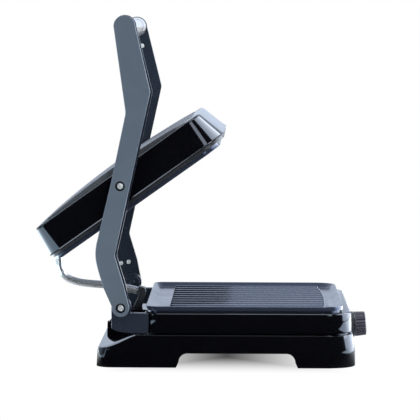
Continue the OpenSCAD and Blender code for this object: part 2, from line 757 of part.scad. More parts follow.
// An arm from x0 to x1, its front edge moved back by trim
module arm_slab(x0, x1, trim = 0) {
    across(x0, x1) translate([0, hinge_h]) polygon(concat([arm_toe], arm_rear_edge,
        [[handle_u - arm_top_r, handle_v], [handle_u + arm_top_r - trim * 0.4, handle_v]],
        [for (p = arm_front_edge) [p[0] - trim, p[1]]],
        [[arm_heel[0] - trim * 0.3, arm_heel[1]], [0, 0]]));
    pin_x(x0, x1, arm_foot_r - trim * 0.3, 0, hinge_h);
    pin_x(x0, x1, arm_top_r - trim * 0.2, handle_u - trim * 0.2, hinge_h + handle_v);
}

// Collar that keeps an arm off its bracket
collar_w = 2.5;
frame_screw_places = [[11.8, 312.7], [14, 215], [-5.9, 25.7], [-15.8, 24]];
frame_screw_r = 1.5;

module arm_frame() difference() {
    union() {
        arm_slab(arm_in, frame_out);
        pin_x(bracket_in - side_clear, arm_in + cut, hub_r, 0, hinge_h);
        pin_x(bracket_out + side_clear, arm_in + cut, hub_r + collar_w, 0, hinge_h);
    }
    pin_x(bracket_in - cut, frame_out + cut, screw_r + 0.05, 0, hinge_h);
    pin_x(arm_in - cut, frame_out + cut, journal_r + run_clear, pivot_u, hinge_h + pivot_v);
    pin_x(arm_in - cut, arm_in + handle_seat, handle_d / 2 + 0.05, handle_u, hinge_h + handle_v);
    for (p = frame_screw_places) {
        pin_x(arm_in - cut, arm_in + 1.6, frame_screw_r * 2 + 0.1, p[0], hinge_h + p[1]);
        pin_x(arm_in, frame_out + cut, frame_screw_r + 0.05, p[0], hinge_h + p[1]);
    }
}
module arm_frame_right() color(satin_black) from_hinge() arm_frame();
module arm_frame_left() color(satin_black) from_hinge() mirror([1, 0, 0]) arm_frame();

screw_eyes = [[0, 0], [pivot_u, pivot_v]];
module arm_cover() difference() {
    arm_slab(frame_out, cover_out, rebate_w);
    for (p = screw_eyes) pin_x(frame_out - cut, cover_out + cut, recess_r, p[0], hinge_h + p[1]);
    for (p = frame_screw_places)
        pin_x(frame_out - cut, frame_out + 4.5, frame_screw_r, p[0], hinge_h + p[1]);
}
module arm_cover_right() color(slate) from_hinge() arm_cover();
module arm_cover_left() color(slate) from_hinge() mirror([1, 0, 0]) arm_cover();

module handle_tube() color(bright) from_hinge() difference() {
    pin_x(-arm_in - handle_seat, arm_in + handle_seat, handle_d / 2, handle_u, hinge_h + handle_v);
    pin_x(-arm_in - 9, arm_in + 9, handle_d / 2 - handle_wall, handle_u, hinge_h + handle_v);
}
plug_l = 16;
module handle_plugs() color(satin_black) from_hinge() both_sides()
    pin_x(arm_in + handle_seat - plug_l, arm_in + handle_seat,
        handle_d / 2 - handle_wall, handle_u, hinge_h + handle_v);

module hinge_screws() color(bright) from_hinge() both_sides() {
    pin_x(frame_out, frame_out + screw_head_h, screw_head_r, 0, hinge_h);
    pin_x(bracket_in - side_clear - washer_t - nut_h - 1, frame_out, screw_r, 0, hinge_h);
}
washer_t = 1.2;
nut_h = 3.2;
nut_r = 4;
module hinge_nuts() color(steel) from_hinge() both_sides() difference() {
    union() {
        pin_x(bracket_in - side_clear - washer_t, bracket_in - side_clear, hub_r + collar_w,
            0, hinge_h);
        translate([bracket_in - side_clear - washer_t - nut_h, 0, hinge_h]) rotate([0, 90, 0])
            cylinder(h = nut_h, r = nut_r, $fn = 6);
    }
    pin_x(bracket_in - side_clear - washer_t - nut_h - cut, bracket_in, screw_r + 0.05,
        0, hinge_h);
}
module frame_screws() color(steel) from_hinge() both_sides() for (p = frame_screw_places) {
    pin_x(arm_in + 0.2, arm_in + 1.6, frame_screw_r * 2, p[0], hinge_h + p[1]);
    pin_x(arm_in + 1, frame_out + 4, frame_screw_r, p[0], hinge_h + p[1]);
}

// ---- lid ----

// Bosses that hold the journals inside the lid's side walls
boss_l = 14;
boss_r = 9;
boss_in = lid_w / 2 - boss_l;
module lid_housing() color(gloss_black) on_lid() difference() {
    union() {
        difference() {
            leaning_slab(lid_edge_m, lid_top_v, lid_w, lid_rear_t, lid_front_t,
                lid_rear_r, lid_front_r, 0, lid_rear_lean, lid_front_lean);
            leaning_slab(lid_edge_m - cut, lid_top_v - lid_wall, lid_w - 2 * lid_wall,
                lid_rear_t + lid_wall, lid_front_t - lid_wall, lid_rear_r - lid_wall,
                lid_front_r - lid_wall, 0, lid_rear_lean, lid_front_lean);
        }
        both_sides() pin_x(boss_in, lid_w / 2 - 1, boss_r, 0, 0);
    }
    both_sides() pin_x(boss_in - cut, lid_w / 2 + cut, journal_r + journal_collar, 0, 0);
    ball_hole();
}

// Round hole for the conduit's ball, open below where the conduit passes the wall
hole_reach = 2.6 * ball_r;
notch_hw = conduit_r + 1;
module ball_hole() translate([0, -ball_tm[0], ball_tm[1]]) {
    translate([0, -hole_reach, 0]) rotate([-90, 0, 0])
        cylinder(h = 2 * hole_reach, r = ball_r + 0.1);
    translate([-notch_hw, -ball_r, -hole_reach])
        cube([2 * notch_hw, hole_reach + ball_r, hole_reach]);
}

panel_u0 = lid_rear_t + lid_rear_lean + panel_margin;
panel_u1 = lid_front_t - lid_front_lean - panel_margin;
panel_edge = 0.8;
// Height of the crown at t, under its highest line by drop
function crown_at(t, drop) = lid_top_v + panel_edge - drop
    + crown_h * (1 - pow((2 * t - panel_u0 - panel_u1) / (panel_u1 - panel_u0), 2));
crown_steps = 16;
module crown(drop) across(-lid_w, lid_w) polygon(concat(
    [[panel_u0, lid_top_v - 2 * cut]],
    [for (i = [0:crown_steps]) let (t = panel_u0 + (panel_u1 - panel_u0) * i / crown_steps)
        [t, crown_at(t, drop)]],
    [[panel_u1, lid_top_v - 2 * cut]]));
module panel_slab(z0, inset) slab(z0, lid_top_v + 2 * crown_h, lid_w - 2 * (panel_margin + inset),
    panel_u0 + inset, panel_u1 - inset, lid_rear_r - panel_margin / 2 - inset,
    lid_front_r - panel_margin - inset);
module lid_top_panel() color(bright) on_lid() difference() {
    intersection() {
        panel_slab(lid_top_v, 0);
        crown(0);
    }
    intersection() {
        panel_slab(lid_top_v - cut, panel_t);
        crown(panel_t);
    }
}

skirt_gap = 0.3;
neck_hole = rim_neck - skirt_gap;
module lid_skirt() color(satin_black) on_lid() difference() {
    union() {
        slab(skirt_m, lid_edge_m, lid_w - 2 * skirt_inset, lid_rear_t + skirt_inset,
            lid_front_t - skirt_inset, lid_rear_r - skirt_inset, lid_front_r - skirt_inset);
        slab(lid_edge_m - cut, lid_edge_m + 3, lid_w - 2 * (lid_wall + 0.3),
            lid_rear_t + lid_wall + 0.7, lid_front_t - lid_wall - 2,
            lid_rear_r - lid_wall, lid_front_r - lid_wall);
    }
    slab(skirt_m - cut, rim_seat_m, plate_w - 2 * neck_hole, plate_t - plate_d / 2 + neck_hole,
        plate_t + plate_d / 2 - neck_hole, plate_rear_r - neck_hole, plate_front_r - neck_hole);
    ball_hole();
    slab(skirt_m - cut, lid_top_v, plate_w - 2 * plate_seat_inset,
        plate_t - plate_d / 2 + plate_seat_inset, plate_t + plate_d / 2 - plate_seat_inset,
        seat_rear_r, plate_front_r - plate_seat_inset);
}

module upper_plate() color(plate_grey) on_lid() translate([0, -plate_t, lid_rim_m])
    mirror([0, 0, 1]) cooking_plate();
upper_under_m = lid_rim_m + floor_drop + floor_t;
module upper_element() color(steel) on_lid() translate([0, -plate_t, upper_under_m])
    mirror([0, 0, 1]) element();
module upper_reflector() color(steel) on_lid() translate([0, -plate_t, upper_under_m])
    mirror([0, 0, 1]) reflector();

journal_l = 12;
journal_end = frame_out + 0.2;
module lid_journals() color(steel) on_lid() both_sides() difference() {
    union() {
        pin_x(boss_in, journal_end, journal_r, 0, 0);
        pin_x(boss_in, arm_in - side_clear, journal_r + journal_collar, 0, 0);
    }
    pin_x(journal_end - journal_l, journal_end + cut, screw_r + 0.05, 0, 0);
}
module journal_screws() color(bright) on_lid() both_sides() {
    pin_x(journal_end, journal_end + screw_head_h, screw_head_r, 0, 0);
    pin_x(journal_end - journal_l + 2, journal_end, screw_r, 0, 0);
}
module conduit_ball() color(satin_black) on_lid() difference() {
    translate([0, -ball_tm[0], ball_tm[1]]) sphere(ball_r);
    translate([0, -ball_tm[0], ball_tm[1]]) rotate([lid_tilt, 0, 0])
        translate([0, 0, -ball_r - cut]) cylinder(h = ball_r + 2 * cut, r = conduit_r + 0.6);
}

lower_housing();
bottom_cover();
rubber_feet();
cover_screws();
tray();
lower_plate();
lower_element();
lower_reflector();
thermostat();
terminal_block();
knob_bezel();
indicator_lenses();
hinge_bracket_left();
hinge_bracket_right();
cable_housing();
conduit_socket();
cord_bushing();
knob();
thermostat_spindle();
arm_frame_left();
arm_frame_right();
arm_cover_left();
arm_cover_right();
handle_tube();
handle_plugs();
hinge_screws();
hinge_nuts();
frame_screws();
lid_housing();
lid_top_panel();
lid_skirt();
upper_plate();
upper_element();
upper_reflector();
lid_journals();
journal_screws();
conduit_ball();
conduit_fixed();
conduit_loop();
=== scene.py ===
# Electric indoor grill with a floating lid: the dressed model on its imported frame.
import math

import bmesh
import bpy
from mathutils import Matrix, Vector


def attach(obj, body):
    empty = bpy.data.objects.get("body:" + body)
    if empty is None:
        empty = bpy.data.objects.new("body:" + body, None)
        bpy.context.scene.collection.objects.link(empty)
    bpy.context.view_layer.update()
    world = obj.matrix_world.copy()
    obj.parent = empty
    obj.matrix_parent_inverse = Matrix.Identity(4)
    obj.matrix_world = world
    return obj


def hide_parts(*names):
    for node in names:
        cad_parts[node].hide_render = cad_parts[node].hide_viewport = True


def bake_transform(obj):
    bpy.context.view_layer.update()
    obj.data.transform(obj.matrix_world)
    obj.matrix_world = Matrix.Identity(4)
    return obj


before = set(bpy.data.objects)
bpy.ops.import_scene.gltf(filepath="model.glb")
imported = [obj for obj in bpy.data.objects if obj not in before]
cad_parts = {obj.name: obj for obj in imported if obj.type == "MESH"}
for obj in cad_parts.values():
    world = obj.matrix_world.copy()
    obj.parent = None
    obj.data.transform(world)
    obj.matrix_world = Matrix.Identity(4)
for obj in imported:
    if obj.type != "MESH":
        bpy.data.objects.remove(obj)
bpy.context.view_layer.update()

# Sizes are in millimetres. A place is x across the grill, u forward from the hinge axis, and z up
# from the table or v up from the hinge axis. The lid's places count from its pivot, with the lid
# lying level.
MM = 0.001
HINGE_Y, HINGE_H = 99.1772, 74.4    # hinge axis: back from the origin, up from the table
PIVOT_U, PIVOT_V = -0.8, 146.8      # the lid's pivot on the arms
LID_TILT = math.radians(35.4)       # how far the lid's front end stands up at rest
TO_RIGHT = Matrix.Rotation(math.pi / 2, 4, "Y")     # turns a shape's Z axis to the right side,
TO_FRONT = Matrix.Rotation(math.pi / 2, 4, "X")     # to the front,
TO_REAR = Matrix.Rotation(-math.pi / 2, 4, "X")     # or to the rear
TO_GRILL = Matrix.Scale(MM, 4) @ Matrix.Translation((0, HINGE_Y, 0))
TO_LID = (Matrix.Scale(MM, 4) @ Matrix.Translation((0, HINGE_Y - PIVOT_U, HINGE_H + PIVOT_V))
          @ Matrix.Rotation(-LID_TILT, 4, "X"))


# ---------------------------------------------------------------- finishes

def group(name, inputs):
    """A node group that gives a colour, a roughness and a height; with its two end nodes."""
    g = bpy.data.node_groups.new(name, "ShaderNodeTree")
    kinds = {"v": "NodeSocketVector", "f": "NodeSocketFloat", "c": "NodeSocketColor"}
    for label, kind, value in inputs:
        s = g.interface.new_socket(label, in_out="INPUT", socket_type=kinds[kind])
        if value is not None:
            s.default_value = value
    for label, kind in (("Colour", "c"), ("Roughness", "f"), ("Height", "f")):
        g.interface.new_socket(label, in_out="OUTPUT", socket_type=kinds[kind])
    return g, g.nodes.new("NodeGroupInput"), g.nodes.new("NodeGroupOutput")


def add(tree, kind, **values):
    """A node with its settings; a value for a socket goes in by the socket's name."""
    n = tree.nodes.new(kind)
    for key, value in values.items():
        if hasattr(n, key):
            setattr(n, key, value)
        else:
            n.inputs[key.replace("_", " ")].default_value = value
    return n


def feed(tree, *links):
    """Joins outputs to inputs."""
    for source, socket in links:
        tree.links.new(source, socket)


def hand_out(g, i, o, tone, patches, low, high, roughest, height):
    """Sends out the tone, a gloss that follows the patches from Smooth to roughest, the height."""
    rough = add(g, "ShaderNodeMapRange", From_Min=low, From_Max=high)
    feed(g, (patches, rough.inputs["Value"]), (i.outputs["Smooth"], rough.inputs["To Min"]),
         (i.outputs[roughest], rough.inputs["To Max"]),
         (tone.outputs["Result"], o.inputs["Colour"]),
         (rough.outputs["Result"], o.inputs["Roughness"]), (height, o.inputs["Height"]))


def darkened(g, i, amount, share, shade):
    """The group's colour, taken towards a darker shade by an amount times a share."""
    part = add(g, "ShaderNodeMath", operation="MULTIPLY")
    tone = add(g, "ShaderNodeMix", data_type="RGBA", blend_type="MULTIPLY", B=(*shade, 1))
    feed(g, (amount, part.inputs[0]), (i.outputs[share], part.inputs[1]),
         (part.outputs[0], tone.inputs["Factor"]), (i.outputs["Colour"], tone.inputs["A"]))
    return tone


def moulded_group():
    """Moulded plastic: slow colour drift, handling smears in the gloss, fine grain height."""
    g, i, o = group("MouldedSurface", [
        ("Vector", "v", None), ("Colour", "c", (0.1, 0.1, 0.1, 1)), ("Drift", "f", 0.2),
        ("Smooth", "f", 0.2), ("Smeared", "f", 0.35), ("Grain", "f", 900.0)])
    slow = add(g, "ShaderNodeTexNoise", Scale=14.0, Detail=3.0, Roughness=0.55)
    smear = add(g, "ShaderNodeTexNoise", Scale=38.0, Detail=5.0, Roughness=0.6, Distortion=0.6)
    grain = add(g, "ShaderNodeTexNoise", Detail=2.0, Roughness=0.5)
    for n in (slow, smear, grain):
        g.links.new(i.outputs["Vector"], n.inputs["Vector"])
    swing = add(g, "ShaderNodeMapRange", From_Min=0.3, From_Max=0.7)
    feed(g, (i.outputs["Grain"], grain.inputs["Scale"]),
         (slow.outputs["Fac"], swing.inputs["Value"]))
    tone = darkened(g, i, swing.outputs["Result"], "Drift", (0.45, 0.47, 0.52))
    hand_out(g, i, o, tone, smear.outputs["Fac"], 0.35, 0.72, "Smeared", grain.outputs["Fac"])
    return g


FINE_SHARE = 0.7        # fine scratches in brushed steel; broad bands make up the rest


def brushed_group():
    """Brushed or drawn steel: long fine scratches along one axis, in tone, gloss and height."""
    g, i, o = group("BrushedSteel", [
        ("Vector", "v", None), ("Colour", "c", (0.6, 0.6, 0.6, 1)), ("Contrast", "f", 0.3),
        ("Smooth", "f", 0.2), ("Rough", "f", 0.4), ("Fineness", "f", 1500.0)])
    fine = add(g, "ShaderNodeTexNoise", Detail=3.0, Roughness=0.6)
    broad = add(g, "ShaderNodeTexNoise", Scale=60.0, Detail=2.0, Roughness=0.5)
    for n in (fine, broad):
        g.links.new(i.outputs["Vector"], n.inputs["Vector"])
    both = add(g, "ShaderNodeMath", operation="MULTIPLY_ADD")
    both.inputs[1].default_value = FINE_SHARE
    part = add(g, "ShaderNodeMath", operation="MULTIPLY")
    part.inputs[1].default_value = 1 - FINE_SHARE
    feed(g, (i.outputs["Fineness"], fine.inputs["Scale"]), (fine.outputs["Fac"], both.inputs[0]),
         (broad.outputs["Fac"], part.inputs[0]), (part.outputs[0], both.inputs[2]))
    tone = darkened(g, i, both.outputs[0], "Contrast", (0.35, 0.36, 0.38))
    hand_out(g, i, o, tone, both.outputs[0], 0.3, 0.7, "Rough", fine.outputs["Fac"])
    return g


def coating_group():
    """Sprayed non-stick coating on a casting: pale flecks, orange-peel height, gloss patches."""
    g, i, o = group("NonStickCoating", [
        ("Vector", "v", None), ("Colour", "c", (0.05, 0.05, 0.06, 1)),
        ("Fleck", "c", (0.2, 0.2, 0.22, 1)), ("Smooth", "f", 0.2), ("Rough", "f", 0.4)])
    cells = add(g, "ShaderNodeTexVoronoi", Scale=900.0)
    peel = add(g, "ShaderNodeTexNoise", Scale=420.0, Detail=2.0, Roughness=0.5)
    patch = add(g, "ShaderNodeTexNoise", Scale=22.0, Detail=4.0, Roughness=0.55)
    for n in (cells, peel, patch):
        g.links.new(i.outputs["Vector"], n.inputs["Vector"])
    spots = add(g, "ShaderNodeMapRange", From_Min=0.16, From_Max=0.05, To_Max=0.55)
    tone = add(g, "ShaderNodeMix", data_type="RGBA")
    feed(g, (cells.outputs["Distance"], spots.inputs["Value"]),
         (spots.outputs["Result"], tone.inputs["Factor"]), (i.outputs["Colour"], tone.inputs["A"]),
         (i.outputs["Fleck"], tone.inputs["B"]))
    hand_out(g, i, o, tone, patch.outputs["Fac"], 0.3, 0.7, "Rough", peel.outputs["Fac"])
    return g


MOULDED, BRUSHED, COATING = moulded_group(), brushed_group(), coating_group()
RELIEF_DEPTH = 0.00005      # depth of the surface relief, in metres


def finish(name, effect, stretch=(1, 1, 1), bump=0.1, metallic=0.0, coat=0.0, tint=(1, 1, 1),
           **values):
    """A material whose colour, gloss and relief come from one effect on Object coordinates."""
    m = bpy.data.materials.new(name)
    m.use_nodes = True
    t = m.node_tree
    shader = t.nodes["Principled BSDF"]
    shader.inputs["Metallic"].default_value = metallic
    shader.inputs["IOR"].default_value = 1.5
    shader.inputs["Specular Tint"].default_value = (*tint, 1)
    shader.inputs["Coat Weight"].default_value = coat
    shader.inputs["Coat Roughness"].default_value = 0.06
    where = add(t, "ShaderNodeTexCoord")
    turn = add(t, "ShaderNodeMapping")
    turn.inputs["Scale"].default_value = stretch
    g = t.nodes.new("ShaderNodeGroup")
    g.node_tree = effect
    for key, value in values.items():
        g.inputs[key].default_value = (*value, 1) if isinstance(value, tuple) else value
    relief = add(t, "ShaderNodeBump", Strength=bump, Distance=RELIEF_DEPTH)
    feed(t, (where.outputs["Object"], turn.inputs["Vector"]),
         (turn.outputs["Vector"], g.inputs["Vector"]),
         (g.outputs["Colour"], shader.inputs["Base Color"]),
         (g.outputs["Roughness"], shader.inputs["Roughness"]),
         (g.outputs["Height"], relief.inputs["Height"]),
         (relief.outputs["Normal"], shader.inputs["Normal"]))
    return m


GLOSS_BLACK = finish("GlossBlack", MOULDED, bump=0.02, tint=(0.80, 0.88, 1.0),
                     Colour=(0.0022, 0.0022, 0.0032), Drift=0.3, Smooth=0.05, Smeared=0.10,
                     Grain=260.0)
SATIN_BLACK = finish("SatinBlack", MOULDED, bump=0.15, Colour=(0.018, 0.020, 0.024), Drift=0.4,
                     Smooth=0.30, Smeared=0.44, Grain=1400.0)
FRAME_BLACK = finish("FrameBlack", MOULDED, bump=0.12, tint=(0.82, 0.90, 1.0),
                     Colour=(0.016, 0.021, 0.032), Drift=0.4, Smooth=0.20, Smeared=0.32,
                     Grain=1400.0)
SLATE = finish("SlateCover", MOULDED, bump=0.22, Colour=(0.072, 0.093, 0.120), Drift=0.25,
               Smooth=0.34, Smeared=0.50, Grain=1500.0)
KNOB_SKIN = finish("KnobSkin", MOULDED, bump=0.15, Colour=(0.017, 0.016, 0.030), Drift=0.3,
                   Smooth=0.28, Smeared=0.42, Grain=1300.0)
PLATE_COAT = finish("PlateCoat", COATING, bump=0.03, tint=(0.54, 0.67, 1.0),
                    Colour=(0.018, 0.022, 0.034), Fleck=(0.035, 0.040, 0.058), Smooth=0.12,
                    Rough=0.20)
BRIGHT_TUBE = finish("BrightTube", BRUSHED, stretch=(0.05, 1, 1), bump=0.02, metallic=0.9,
                     Colour=(0.84, 0.83, 0.81), Contrast=0.10, Smooth=0.12, Rough=0.24)
CONDUIT_STEEL = finish("ConduitSteel", BRUSHED, stretch=(1, 0.2, 0.2), bump=0.01, metallic=0.8,
                       Colour=(0.62, 0.63, 0.64), Contrast=0.08, Smooth=0.16, Rough=0.26)
SHEET_STEEL = finish("SheetSteel", BRUSHED, stretch=(0.03, 1, 1), bump=0.02, metallic=1.0,
                     Colour=(0.21, 0.215, 0.23), Contrast=0.18, Smooth=0.44, Rough=0.56)
SCREW_STEEL = finish("ScrewSteel", BRUSHED, bump=0.06, metallic=0.35, Colour=(0.86, 0.88, 0.86),
                     Contrast=0.15, Smooth=0.22, Rough=0.36)
PLATED = finish("PlatedSteel", BRUSHED, bump=0.08, metallic=1.0, Colour=(0.62, 0.63, 0.62),
                Contrast=0.4, Smooth=0.20, Rough=0.38)
ELEMENT_STEEL = finish("ElementSteel", BRUSHED, bump=0.1, metallic=1.0, Colour=(0.20, 0.19, 0.18),
                       Contrast=0.5, Smooth=0.35, Rough=0.55)
FOOT_RUBBER = finish("FootRubber", MOULDED, bump=0.3, Colour=(0.016, 0.016, 0.016), Drift=0.4,
                     Smooth=0.65, Smeared=0.85, Grain=1200.0)
CERAMIC = finish("CeramicWhite", MOULDED, bump=0.2, Colour=(0.70, 0.69, 0.65), Drift=0.12,
                 Smooth=0.40, Smeared=0.60, Grain=900.0)
RED_LENS = finish("RedLens", MOULDED, bump=0.02, coat=0.6, Colour=(0.35, 0.03, 0.02), Drift=0.3,
                  Smooth=0.05, Smeared=0.12, Grain=500.0)
GREEN_LENS = finish("GreenLens", MOULDED, bump=0.02, coat=0.6, Colour=(0.03, 0.22, 0.06), Drift=0.3,
                    Smooth=0.05, Smeared=0.12, Grain=500.0)


# ---------------------------------------------------------------- making pieces

def near(a, b, eps=1e-3):
    return abs(a - b) < eps


def edges_where(bm, test):
    """Edges whose two ends pass a test."""
    return [e for e in bm.edges if test(*[v.co for v in e.verts])]


def soften(bm, edges, width, segments=3):
    """Rounds these edges to a radius."""
    bmesh.ops.bevel(bm, geom=edges, offset=width, offset_type="OFFSET", segments=segments,
                    profile=0.5, affect="EDGES", material=-1, clamp_overlap=True)


def score(bm, place, normal):
    """Adds a line of edges all round where a plane crosses the shape."""
    bmesh.ops.bisect_plane(bm, geom=bm.verts[:] + bm.edges[:] + bm.faces[:], dist=1e-4,
                           plane_co=place, plane_no=normal)


def cube(size, place):
    """A plain box to be shaped further."""
    bm = bmesh.new()
    bmesh.ops.create_cube(bm, size=1, matrix=place @ Matrix.Diagonal((*size, 1)))
    return bm


def rod(r, length, place, steps):
    """A round rod along the Z axis of its place."""
    bm = bmesh.new()
    bmesh.ops.create_cone(bm, cap_ends=True, segments=steps, radius1=r, radius2=r, depth=length,
                          matrix=place)
    return bm


def pin(x0, x1, r, u, z, steps=32):
    """A round pin across the grill."""
    return rod(r, x1 - x0, Matrix.Translation(((x0 + x1) / 2, -u, z)) @ TO_RIGHT, steps)


def block(w, u0, u1, z0, z1, rear_r=0.0, front_r=0.0, corner=9):
    """An upright block from u0 at the rear to u1 in front, its corners rounded in plan."""
    bm = cube((w, u1 - u0, z1 - z0), Matrix.Translation((0, -(u0 + u1) / 2, (z0 + z1) / 2)))
    for r, u in ((rear_r, u0), (front_r, u1)):
        if r:
            soften(bm, edges_where(bm, lambda a, b: near(a.y, -u) and near(b.y, -u)
                                   and near(a.x, b.x)), r, corner)
    return bm


def faces_up(bm, z):
    """Faces at height z that look up."""
    return [f for f in bm.faces if f.normal.z > 0.99 and near(f.calc_center_median().z, z, 0.05)]


def rim_edges(bm, z, sharp=20):
    """Edges at height z that turn by more than sharp degrees."""
    bm.normal_update()
    return [e for e in bm.edges if all(near(v.co.z, z, 0.05) for v in e.verts)
            and len(e.link_faces) == 2 and e.calc_face_angle(0) > math.radians(sharp)]


def raised(bm, faces):
    """Extrudes a patch of faces and gives its new corners."""
    out = bmesh.ops.extrude_face_region(bm, geom=faces)
    return [v for v in out["geom"] if isinstance(v, bmesh.types.BMVert)]


def flat(points, x):
    """A flat face across x, from its [u, z] outline."""
    bm = bmesh.new()
    bm.faces.new([bm.verts.new((x, -u, z)) for u, z in points])
    return bm


def widened(bm, width):
    """Gives a flat face its width across the grill."""
    bmesh.ops.translate(bm, verts=raised(bm, bm.faces[:]), vec=(width, 0, 0))
    bmesh.ops.recalc_face_normals(bm, faces=bm.faces)
    return bm


def profile(points, x0, x1):
    """A [u, z] outline, solid from x0 to x1."""
    return widened(flat(points, x0), x1 - x0)


def lathe(points, steps=48):
    """Spins a [radius, height] outline about the Z axis."""
    bm = bmesh.new()
    verts = [bm.verts.new((r, 0, h)) for r, h in points]
    edges = [bm.edges.new(pair) for pair in zip(verts, verts[1:])]
    bmesh.ops.spin(bm, geom=verts + edges, cent=(0, 0, 0), axis=(0, 0, 1), angle=2 * math.pi,
                   steps=steps, use_merge=True)
    bmesh.ops.remove_doubles(bm, verts=bm.verts, dist=1e-4)
    bmesh.ops.recalc_face_normals(bm, faces=bm.faces)
    return bm


def lay(bm, matrix):
    """Turns or moves a whole shape."""
    bmesh.ops.transform(bm, matrix=matrix, verts=bm.verts)
    if matrix.determinant() < 0:
        bmesh.ops.reverse_faces(bm, faces=bm.faces)
    return bm


def join(bm, *others):
    """Adds other shapes to a shape."""
    for other in others:
        mesh = bpy.data.meshes.new("part")
        other.to_mesh(mesh)
        bm.from_mesh(mesh)
        bpy.data.meshes.remove(mesh)
        other.free()
    return bm


def mirrored(bm):
    """The shape and its mirror image across the grill's middle."""
    twin = bm.copy()
    lay(twin, Matrix.Diagonal((-1, 1, 1, 1)))
    return join(bm, twin)


def piece(name, bm, place, material, body, *nodes, edge=0.0, steps=3, smooth=35):
    """Makes the object, lets it ride on a body and stand for its CAD nodes."""
    lay(bm, place)
    mesh = bpy.data.meshes.new(name)
    bm.to_mesh(mesh)
    bm.free()
    mesh.materials.append(material)
    obj = bpy.data.objects.new(name, mesh)
    bpy.context.scene.collection.objects.link(obj)
    mesh.shade_smooth()
    if edge:
        m = obj.modifiers.new("Edges", "BEVEL")
        m.width, m.segments, m.limit_method = edge * MM, steps, "ANGLE"
        m.angle_limit, m.harden_normals, m.profile = math.radians(smooth), True, 0.5
        m.use_clamp_overlap = True
    else:
        mesh.set_sharp_from_angle(angle=math.radians(smooth))
    if body:
        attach(obj, body)
    if nodes:
        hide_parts(*nodes)
    return obj


def from_node(node):
    """A merged copy of a CAD node's mesh, in millimetres of the grill's own places."""
    bm = bmesh.new()
    bm.from_mesh(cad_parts[node].data)
    bmesh.ops.transform(bm, matrix=TO_GRILL.inverted(), verts=bm.verts)
    bmesh.ops.remove_doubles(bm, verts=bm.verts, dist=1e-3)
    bmesh.ops.dissolve_limit(bm, angle_limit=math.radians(1), verts=bm.verts, edges=bm.edges)
    return bm


def clad(node, material):
    """Gives a CAD node its finish."""
    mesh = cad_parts[node].data
    mesh.materials.clear()
    mesh.materials.append(material)


def carve(bm, *cutters):
    """Cuts shapes out of a shape and gives the rest."""
    objs = []
    for shape in (bm, *cutters):
        mesh = bpy.data.meshes.new("cut")
        shape.to_mesh(mesh)
        shape.free()
        objs.append(bpy.data.objects.new("cut", mesh))
        bpy.context.scene.collection.objects.link(objs[-1])
    for cutter in objs[1:]:
        m = objs[0].modifiers.new("Cut", "BOOLEAN")
        m.object, m.operation, m.solver = cutter, "DIFFERENCE", "EXACT"
    out = bmesh.new()
    out.from_object(objs[0], bpy.context.evaluated_depsgraph_get())
    for o in objs:
        mesh = o.data
        bpy.data.objects.remove(o)
        bpy.data.meshes.remove(mesh)
    return out


# Every CAD node gets a finish, also where a piece stands for it
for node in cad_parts:
    clad(node, SATIN_BLACK)
for node in ("lower_reflector", "upper_reflector", "thermostat_spindle"):
    clad(node, PLATED)
for node in ("lower_element", "upper_element"):
    clad(node, ELEMENT_STEEL)
clad("terminal_block", CERAMIC)


# ---------------------------------------------------------------- base

HOUSING_W, HOUSING_REAR, HOUSING_FRONT, HOUSING_FOOT = 310, -31, 283.6, 1.2
DECK_H, REAR_EDGE_H = 40.4, 24.2            # height of the deck, and of its low rear edge
DECK_START, DECK_RUN, DECK_STEPS = -28.7, 52, 14    # where the deck rises, and over what length
DECK_EDGE = 135                             # the deck droops a little outside this x
ARCH_REAR, ARCH_FRONT, ARCH_TOP = 65, 214.2, 18.6
CHANNEL_W = HOUSING_W - 96                  # open channel under the middle of the base
KNOB_U, KNOB_Z, KNOB_LEAN = 282.521, 36.8, 4.3
LENS_U, LENS_Z = 275.6, 26.6
OUTLET_REAR, OUTLET_Z = -14.7, 33.2         # where the conduit's bushing starts
FEET_X, FEET_U = (-131, 131), (12.2, 248.9)
TRAY_W, TRAY_REAR, TRAY_FRONT, TRAY_Z, TRAY_TOP = 304, 27.1, 277.6, 41.9, 66.9
PLATE_W, PLATE_D, PLATE_U, RIM_TOP = 296, 239, 148.4, 74.7
RIBS, RIB_PITCH, RIB_FOOT, RIB_TOP = 11, 25, 11, 6      # count, spacing and two widths
FLOOR_DROP, RIM_W, RIM_STEP = 5.4, 3, 3     # a plate's floor under its rim, the rim's width
BRACKET_X, BRACKET_R = (141, 154), 12       # and the step below it; a bracket's sides and eye


def deck_height(u):
    """The deck's height: an easy rise from its rear edge."""
    s = min(max((u - DECK_START) / DECK_RUN, 0), 1)
    return REAR_EDGE_H + (DECK_H - REAR_EDGE_H) * s * s * (3 - 2 * s)


def arch_outline(u0, u1, lean_in, top, r):
    """The side arch: leaning sides and rounded upper corners."""
    points = [(u1, -1), (u0, -1)]
    for cu, a0, a1 in ((u0 + lean_in + r, 180, 90), (u1 - lean_in - r, 90, 0)):
        for i in range(9):
            a = math.radians(a0 + (a1 - a0) * i / 8)
            points.append((cu + r * math.cos(a), top - r + r * math.sin(a)))
    return points


